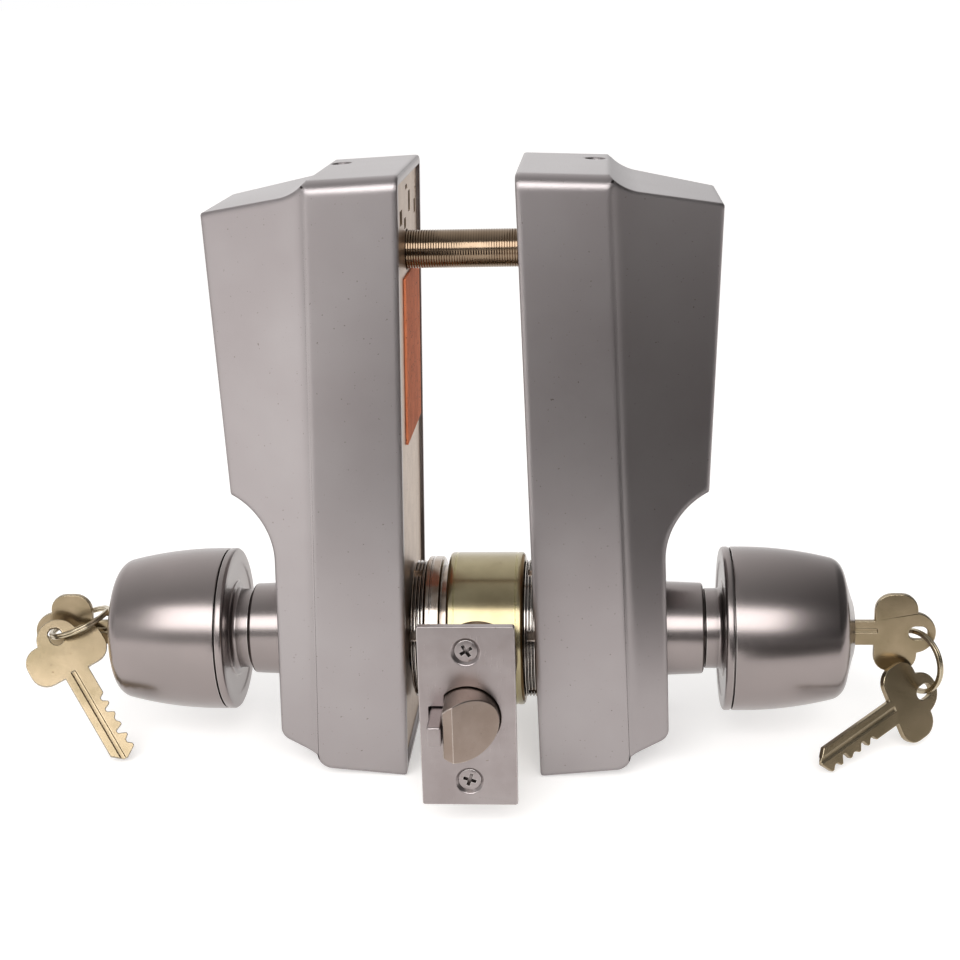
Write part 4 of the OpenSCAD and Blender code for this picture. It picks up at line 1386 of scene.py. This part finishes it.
@dataclass(frozen=True)
class Latch:
    """Latch with its face plate, screws, slanted bolt and deadlocking plunger."""

    shift: float = 1.9
    backset: float = 69.85
    throw: float = 12.7
    bolt_r: float = 9.5
    bolt_flat: float = 6.4
    flange_y: float = -57.95
    flange_t: float = 2.0
    flange_r: float = 11.4
    tail_w: float = 4.0
    tail_h: float = 10.0
    tail_end: float = -14.3
    slant: float = 38.0
    slant_start: float = 3.0
    plunger_gap: float = 0.3
    plunger_past: float = 1.0
    plunger_w: float = 4.2
    plunger_h: float = 6.2
    plunger_l: float = 24.0
    screw_pitch: float = 41.3
    screw_sunk: float = 0.75

    def build(self) -> None:
        """Builds every piece of the latch."""
        Work.copied("latch_face", "latch_faceplate").bevelled(0.3, 3, 40).finished(
            LATCH_NICKEL, "lock_core", ["latch_faceplate"])
        self.build_screws()
        self.build_bolt()
        self.build_plunger()

    def build_screws(self) -> None:
        """Builds the two wood screws of the face plate."""
        first = CrossScrew(head_r=3.45, shank_r=2.1, length=15.6, flat=True, head_h=1.5, pitch=1.7)
        screws = []
        for i, z in enumerate((-self.screw_pitch / 2, self.screw_pitch / 2)):
            # Each screw's cross has stopped at another angle
            screw = first.build(f"latch_screw_{i}")
            screws.append(screw.placed(shifted(self.shift, self.screw_sunk - self.backset, z)
                                       @ turned_by(90, "Z") @ turned_by(18 + 40 * i, "X")))
        screws[0].joined(screws[1]).named("latch_screw_set").finished(
            LATCH_NICKEL, "lock_core", ["faceplate_screws"])

    def build_bolt(self) -> None:
        """Builds the bolt: a rod with one flat side and a slanted striking face, and its tail."""
        front = -self.backset - self.throw
        bolt = Work.rod("bolt", (0, front, 0), (0, self.flange_y, 0), self.bolt_r, 128)
        bolt.sliced((-self.bolt_flat, 0, 0), (-1, 0, 0))
        turn = math.radians(self.slant)
        bolt.sliced((self.slant_start - self.bolt_flat, front, 0), (math.sin(turn), -math.cos(turn), 0))
        flange = Work.rod("flange", (0, self.flange_y - 0.01, 0), (0, self.flange_y + self.flange_t, 0),
                          self.flange_r, 96).sliced((-self.bolt_flat, 0, 0), (-1, 0, 0))
        tail = Work.block("tail", (-self.tail_w / 2, self.flange_y + 1, -self.tail_h / 2),
                          (self.tail_w / 2, self.tail_end, self.tail_h / 2))
        bolt.fused(flange, tail).bevelled(0.35, 3, 45).placed(shifted(self.shift)).named("latch_bolt_body")
        bolt.obj.data.materials.append(BOLT_NICKEL.material())
        bolt.finished(LATCH_NICKEL, "latch_bolt", ["latch_bolt"])

    def build_plunger(self) -> None:
        """Builds the deadlocking plunger with a rounded tip."""
        front = -self.backset - self.throw - self.plunger_past
        low = (self.shift - self.bolt_flat - self.plunger_gap - self.plunger_w, front, -self.plunger_h / 2)
        high = (low[0] + self.plunger_w, front + self.plunger_l, self.plunger_h / 2)
        plunger = Work.block("plunger", low, high).bevelled(0.7, 4, 40).named("latch_plunger")
        plunger.finished(LATCH_NICKEL, "deadlock_plunger", ["deadlock_plunger"])


# Knobs


@dataclass(frozen=True)
class Knob:
    """Turned knob on its spindle, and the collar between it and the housing."""

    side: Side
    rose_r: float = 15.0
    rose_flare: float = 0.5
    rose_back: float = 55.05
    rose_mid: float = 62.05
    rose_face: float = 74.65
    rose_lip: float = 3.0
    hub_r: float = 11.58
    hub_bore: float = 9.7
    neck_r: float = 13.2
    neck_start: float = 75.05
    rim_start: float = 80.65
    rim_t: float = 2.6
    knob_r: float = 26.95
    shell_start: float = 83.65
    knob_end: float = 123.25
    shell_t: float = 2.0
    shoulder_drop: float = 3.6
    shoulder_r: float = 5.5
    plug_r: float = 6.35
    plug_gap: float = 0.08
    plug_wall: float = 3.2
    exterior_spindle_start: float = 7.6
    interior_spindle_start: float = 15.3
    spindle_r: float = 9.62
    spindle_bore: float = 7.62
    plug_start: float = 91.25

    def build(self) -> None:
        """Builds the spindle and the knob."""
        self.build_spindle()
        self.build_shell()

    def line(self, inset: float, steps: int) -> Profile:
        """Outer line of the knob from its rim to its end, as place along X and radius.

        Args:
            inset: Distance inside the outer surface.
            steps: Steps along each arc.

        Returns:
            Points of the line.
        """
        flat_end, shoulder_x = self.shell_start + 3, self.knob_end - 7
        side_r = ((shoulder_x - flat_end) ** 2 + self.shoulder_drop ** 2) / (2 * self.shoulder_drop)
        sweep = math.degrees(math.asin((shoulder_x - flat_end) / side_r))
        flank = arc((self.knob_r - side_r, flat_end), side_r - inset, 0, sweep, steps)
        lean = math.radians(sweep)
        centre = (self.knob_r - self.shoulder_drop - self.shoulder_r * math.cos(lean),
                  shoulder_x - self.shoulder_r * math.sin(lean))
        shoulder = arc(centre, self.shoulder_r - inset, sweep, 82, steps)
        return [(x, r) for r, x in flank + shoulder[1:]]

    def build_spindle(self) -> None:
        """Builds the neck, its flare and the rim disc, with the groove that shows as a dark line."""
        start = self.interior_spindle_start if self.side is Side.INTERIOR else self.exterior_spindle_start
        r, rim, end = self.knob_r, self.rim_start, self.rim_start + self.rim_t
        step = r - self.shell_t - 0.15
        flare = arc((rim - 1.5, self.neck_r + 1.5), 1.5, -90, 0, 6)
        profile = [
            (start, self.spindle_bore), (start, self.spindle_r - 0.2), (start + 0.2, self.spindle_r),
            (self.neck_start, self.spindle_r), (self.neck_start, self.neck_r - 0.3),
            (self.neck_start + 0.3, self.neck_r), *flare,
            (rim, self.neck_r + 2.6), (rim + 0.35, self.neck_r + 3.0), (rim + 0.35, r - 5.0),
            (rim, r - 4.4), (rim, r - 0.9), (rim + 0.25, r - 0.35), (rim + 0.7, r - 0.04),
            (rim + 1.1, r), (end - 0.5, r), (end - 0.15, r - 0.12), (end, r - 0.45),
            (end, step), (self.shell_start + 2.4, step), (self.shell_start + 2.4, self.spindle_bore)]
        word = self.side.word
        spindle = Work.turned(word + "_knob_neck", profile, sides=160)
        spindle.placed(self.side.flipped()).finished(
            KNOB_CHROME, word + "_knob", [word + "_spindle"], sharp=32)

    def build_shell(self) -> None:
        """Builds the hollow knob with its softened rim and the boss round the plug."""
        s, r, end = self.shell_start, self.knob_r, self.knob_end
        outer = [(s, r - 0.5), (s + 0.12, r - 0.15), (s + 0.45, r), *self.line(0, 28)]
        hole, boss = self.plug_r + self.plug_gap, self.plug_r + self.plug_wall
        inner = list(reversed(self.line(self.shell_t, 12)))
        profile = [
            *outer, (end - 0.35, hole + 4.2), (end, hole + 3.4), (end, hole + 0.35), (end - 0.3, hole),
            (self.plug_start, hole), (self.plug_start, boss), (end - self.shell_t, boss),
            *inner, (s, r - self.shell_t)]
        word = self.side.word
        knob = Work.turned(word + "_knob_shell", profile, sides=160)
        knob.placed(self.side.flipped()).finished(KNOB_CHROME, word + "_knob", [word + "_knob"], sharp=32)

    def rose(self) -> Work:
        """Turns the collar between the housing and the knob.

        Returns:
            The collar, on its side of the door.
        """
        r, face, out = self.rose_r, self.rose_face, self.rose_r + self.rose_flare
        soft = arc((face - 0.8, r - 0.8), 0.8, 90, 0, 6)
        profile = [
            (self.rose_back, self.hub_r), (self.rose_back, out), (self.rose_mid, out), *soft,
            (face, self.hub_bore + 2.6), (face - 0.4, self.hub_bore + 2.2), (face - 0.4, self.hub_bore),
            (face - self.rose_lip, self.hub_bore), (face - self.rose_lip, self.hub_r)]
        collar = Work.turned(self.side.word + "_collar", profile, sides=128)
        return collar.placed(self.side.flipped())


# Keys


@dataclass(frozen=True)
class KeyRing:
    """Split ring: flat spring wire coiled twice round."""

    side: Side
    radius: float = 10.25
    wire: float = 0.86
    hole_x: float = 145.05
    hole_z: float = -1.5
    turn: float = 36.0
    rise: float = 20.0

    def place(self) -> Matrix:
        """Place of the ring, whose axis is along its own Z.

        Returns:
            Matrix from the ring to the lock.
        """
        if self.side is Side.INTERIOR:
            return (shifted(self.hole_x, 0, self.hole_z - self.radius) @ turned_by(self.turn, "Z")
                    @ turned_by(90, "Y"))
        rise = math.radians(self.rise)
        return (shifted(-self.hole_x + self.radius * math.cos(rise), 0,
                        self.hole_z + self.radius * math.sin(rise)) @ turned_by(-self.rise, "Y"))

    def build(self) -> None:
        """Coils a rounded wire section twice round with a screw modifier and closes its ends."""
        section = rounded_box(1.5, self.wire, 0.3, 3)
        word = self.side.word
        ring = Work.drawn(word + "_split_ring", [(self.radius + x, 0, z - self.wire / 2) for x, z in section],
                          filled=False)
        ring.modified("SCREW", angle=FULL_TURN, screw_offset=self.wire, iterations=2, steps=96,
                      render_steps=96, use_merge_vertices=False)
        ring.merged().edited(lambda: bpy.ops.mesh.fill_holes(sides=0))
        ring.placed(shifted(0, 0, -self.wire / 2)).outward()
        ring.placed(self.place()).finished(RING_STEEL, word + "_key_ring", [word + "_key_ring"])


@dataclass(frozen=True)
class Keys:
    """The four keys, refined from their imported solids."""

    edge: float = 0.28

    def build(self) -> None:
        """Builds each key with rounded bow and blade edges."""
        for side in Side:
            for kind in ("key", "spare_key"):
                node = f"{side.word}_{kind}"
                key = Work.copied(node + "_cut", node).bevelled(self.edge, 3, 40)
                key.finished(KEY_SILVER, node, [node])


# Plates


@dataclass(frozen=True)
class Plates:
    """Back plates, keypad plates and the insulating sheet."""

    def build(self) -> None:
        """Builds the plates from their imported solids, with rounded edges."""
        for side in Side:
            word = side.word
            plate = Work.copied(word + "_plate_back", word + "_back_plate").bevelled(0.12, 2, 40)
            plate.finished(PLATE_ZINC, word + "_housing", [word + "_back_plate"])
            pad = Work.copied(word + "_plate_keypad", word + "_keypad_plate").bevelled(0.15, 2, 40)
            pad.finished(PAD_STEEL, word + "_housing", [word + "_keypad_plate"])
        sheet = Work.copied("exterior_sheet", "exterior_insulator").bevelled(0.2, 2, 40)
        sheet.finished(FIBRE, "exterior_housing", ["exterior_insulator"])


# Studio


@dataclass(frozen=True)
class Studio:
    """Camera, pale floor, soft lamps and the sky round the lock, in metres and radians."""

    camera_place: tuple[float, float, float] = (0.04044, -0.50875, 0.2062)
    yaw: float = 0.075
    pitch: float = 0.2941
    roll: float = 0.0277
    lens_mm: float = 61.43
    floor_z: float = -0.0382
    floor_size: float = 60.0
    floor_colour: str = "#e6e4e2"
    floor_glow: float = 0.4
    card_colour: str = "#343130"
    card_lift: float = 0.0005
    sky_fill: float = 0.8

    def build(self) -> None:
        """Builds the studio."""
        self.build_camera()
        self.build_floor()
        self.build_lamps()
        self.build_sky()

    def build_camera(self) -> None:
        """Stands the camera where the photograph was taken from."""
        camera = bpy.data.cameras.new("camera")
        camera.lens, camera.sensor_width = self.lens_mm, 36.0
        camera.clip_start, camera.clip_end = 0.01, 100.0
        obj = linked("camera", camera)
        turn = (Matrix.Rotation(self.yaw, 3, "Z") @ Matrix.Rotation(-self.pitch, 3, "X")
                @ Matrix.Rotation(self.roll, 3, "Y"))
        right, ahead, up = turn.col[0], turn.col[1], turn.col[2]
        axes = Matrix((right, up, -ahead)).transposed()
        obj.matrix_world = Matrix.Translation(self.camera_place) @ axes.to_4x4()
        bpy.context.scene.camera = obj

    def build_floor(self) -> None:
        """Lays a pale floor that shows white to the camera and keeps the lock's soft shadow."""
        Work.clear()
        bpy.ops.mesh.primitive_plane_add(size=self.floor_size, location=(0, 0, self.floor_z))
        floor = bpy.context.object
        floor.name = "studio_floor"
        material = bpy.data.materials.new("studio_floor")
        tree = empty_tree(material)
        path = add_node(tree, "LightPath")
        direct = add_node(tree, "Math", {0: path.outputs["Is Camera Ray"], 1: path.outputs["Is Glossy Ray"]},
                          operation="ADD")
        shown = add_node(tree, "Math", {0: direct.outputs[0], 1: path.outputs["Is Transmission Ray"]},
                         operation="ADD", use_clamp=True)
        glow = add_node(tree, "Math", {0: shown.outputs[0], 1: self.floor_glow}, operation="MULTIPLY")
        shader = add_node(tree, "BsdfDiffuse", {"Color": linear(self.floor_colour)})
        light = add_node(tree, "Emission", {"Color": (1, 1, 1, 1), "Strength": glow.outputs[0]})
        both = add_node(tree, "AddShader", {0: shader.outputs[0], 1: light.outputs[0]})
        add_node(tree, "OutputMaterial", {"Surface": both.outputs[0]})
        floor.data.materials.append(material)

    def lamp(self, name: str, place: Point, aim: Point, size: tuple[float, float], watts: float) -> None:
        """Adds one soft rectangular lamp.

        Args:
            name: Name of the lamp.
            place: Where it stands, in metres.
            aim: Where it points.
            size: Width and height.
            watts: Power.
        """
        light = bpy.data.lights.new(name, "AREA")
        light.shape, light.size, light.size_y, light.energy = "RECTANGLE", size[0], size[1], watts
        obj = linked(name, light)
        obj.location = place
        obj.rotation_euler = (Vector(aim) - Vector(place)).to_track_quat("-Z", "Y").to_euler()

    def build_lamps(self) -> None:
        """Adds a soft box above the camera, one at the left, and two dark cards that only reflections see."""
        self.lamp("soft_box_front", (-0.1, -0.84, 0.58), (0.0, 0.0, 0.03), (1.1, 0.56), 9.0)
        self.lamp("soft_box_left", (-0.66, -0.5, 0.18), (-0.05, 0.0, 0.06), (0.55, 0.42), 0.3)
        self.card("dark_card_front", (-0.12, -2.8), (1.1, -0.26))
        self.card("dark_card_right", (0.1, -0.255), (1.1, -0.12))

    def card(self, name: str, low: Point, high: Point) -> None:
        """Lays a dark card on the floor that only reflections see.

        Args:
            name: Name of the card.
            low: Lowest corner.
            high: Highest corner.
        """
        Work.clear()
        middle = [(a + b) / 2 for a, b in zip(low, high)]
        bpy.ops.mesh.primitive_plane_add(size=1, location=(*middle, self.floor_z + self.card_lift))
        card = bpy.context.object
        card.name = name
        card.scale = (high[0] - low[0], high[1] - low[1], 1)
        material = bpy.data.materials.new(name)
        tree = empty_tree(material)
        path = add_node(tree, "LightPath")
        dark = add_node(tree, "BsdfDiffuse", {"Color": linear(self.card_colour)})
        clear = add_node(tree, "BsdfTransparent")
        shader = add_node(tree, "MixShader", {0: path.outputs["Is Glossy Ray"], 1: clear.outputs[0],
                                              2: dark.outputs[0]})
        add_node(tree, "OutputMaterial", {"Surface": shader.outputs[0]})
        card.data.materials.append(material)

    def build_sky(self) -> None:
        """Lights the lock evenly. Reflections see the sky bright behind it, dim in front and at the right."""
        world = bpy.data.worlds.new("studio_sky")
        bpy.context.scene.world = world
        tree = empty_tree(world)
        way = add_node(tree, "SeparateXYZ", {0: add_node(tree, "TexCoord").outputs["Generated"]})
        height = add_node(tree, "MapRange", {
            "Value": way.outputs["Z"], "From Min": 0.1, "From Max": 0.9, "To Min": 1.0, "To Max": 0.95})
        behind = add_node(tree, "MapRange", {
            "Value": way.outputs["Y"], "From Min": -0.7, "From Max": 0.8, "To Min": 0.24, "To Max": 1.2})
        right = add_node(tree, "MapRange", {
            "Value": way.outputs["X"], "From Min": 0.0, "From Max": 0.6, "To Min": 1.0, "To Max": 0.15})
        level = add_node(tree, "Math", {0: height.outputs[0], 1: behind.outputs[0]}, operation="MULTIPLY")
        level = add_node(tree, "Math", {0: level.outputs[0], 1: right.outputs[0]}, operation="MULTIPLY")
        path = add_node(tree, "LightPath")
        seen = add_node(tree, "Math", {
            0: path.outputs["Is Camera Ray"], 1: path.outputs["Is Transmission Ray"]},
            operation="ADD", use_clamp=True)
        mirrored = add_node(tree, "Math", {0: path.outputs["Is Glossy Ray"], 1: level.outputs[0]},
                            operation="MULTIPLY")
        plain = add_node(tree, "Math", {0: 1.0, 1: path.outputs["Is Glossy Ray"]}, operation="SUBTRACT")
        plain = add_node(tree, "Math", {0: plain.outputs[0], 1: self.sky_fill, 2: mirrored.outputs[0]},
                         operation="MULTIPLY_ADD")
        strength = add_node(tree, "Mix", {0: seen.outputs[0], 2: plain.outputs[0], 3: 1.0})
        back = add_node(tree, "Background", {"Color": (1, 1, 1, 1), "Strength": strength.outputs[0]})
        add_node(tree, "OutputWorld", {"Surface": back.outputs[0]})


def dress_nodes() -> None:
    """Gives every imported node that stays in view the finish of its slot."""
    for part in frame["record"]["subparts"]:
        obj = frame["nodes"].get(part["node"])
        finish = NODE_FINISHES.get(part["material_slot"])
        if obj is None or finish is None:
            continue
        if not obj.material_slots:
            obj.data.materials.append(None)
        for place in obj.material_slots:
            place.material = finish.material()
        LOG.info("%s: %s", part["node"], finish.slot)


def main() -> None:
    """Builds the lock piece by piece."""
    logging.basicConfig(level=logging.INFO, format="%(name)s: %(message)s")
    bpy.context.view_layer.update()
    dress_nodes()
    bpy.context.scene.view_settings.view_transform = "Standard"
    Studio().build()
    for side in Side:
        housing = Housing(side)
        housing.build()
        Keypad(housing).build()
        Knob(side).build()
        KeyRing(side).build()
    roses = Knob(Side.EXTERIOR).rose().joined(Knob(Side.INTERIOR).rose()).named("knob_collar_set")
    roses.finished(KNOB_CHROME, "lock_core", ["roses"], sharp=32)
    Chassis().build()
    Latch().build()
    Keys().build()
    Plates().build()


if __name__ == "__main__":
    main()
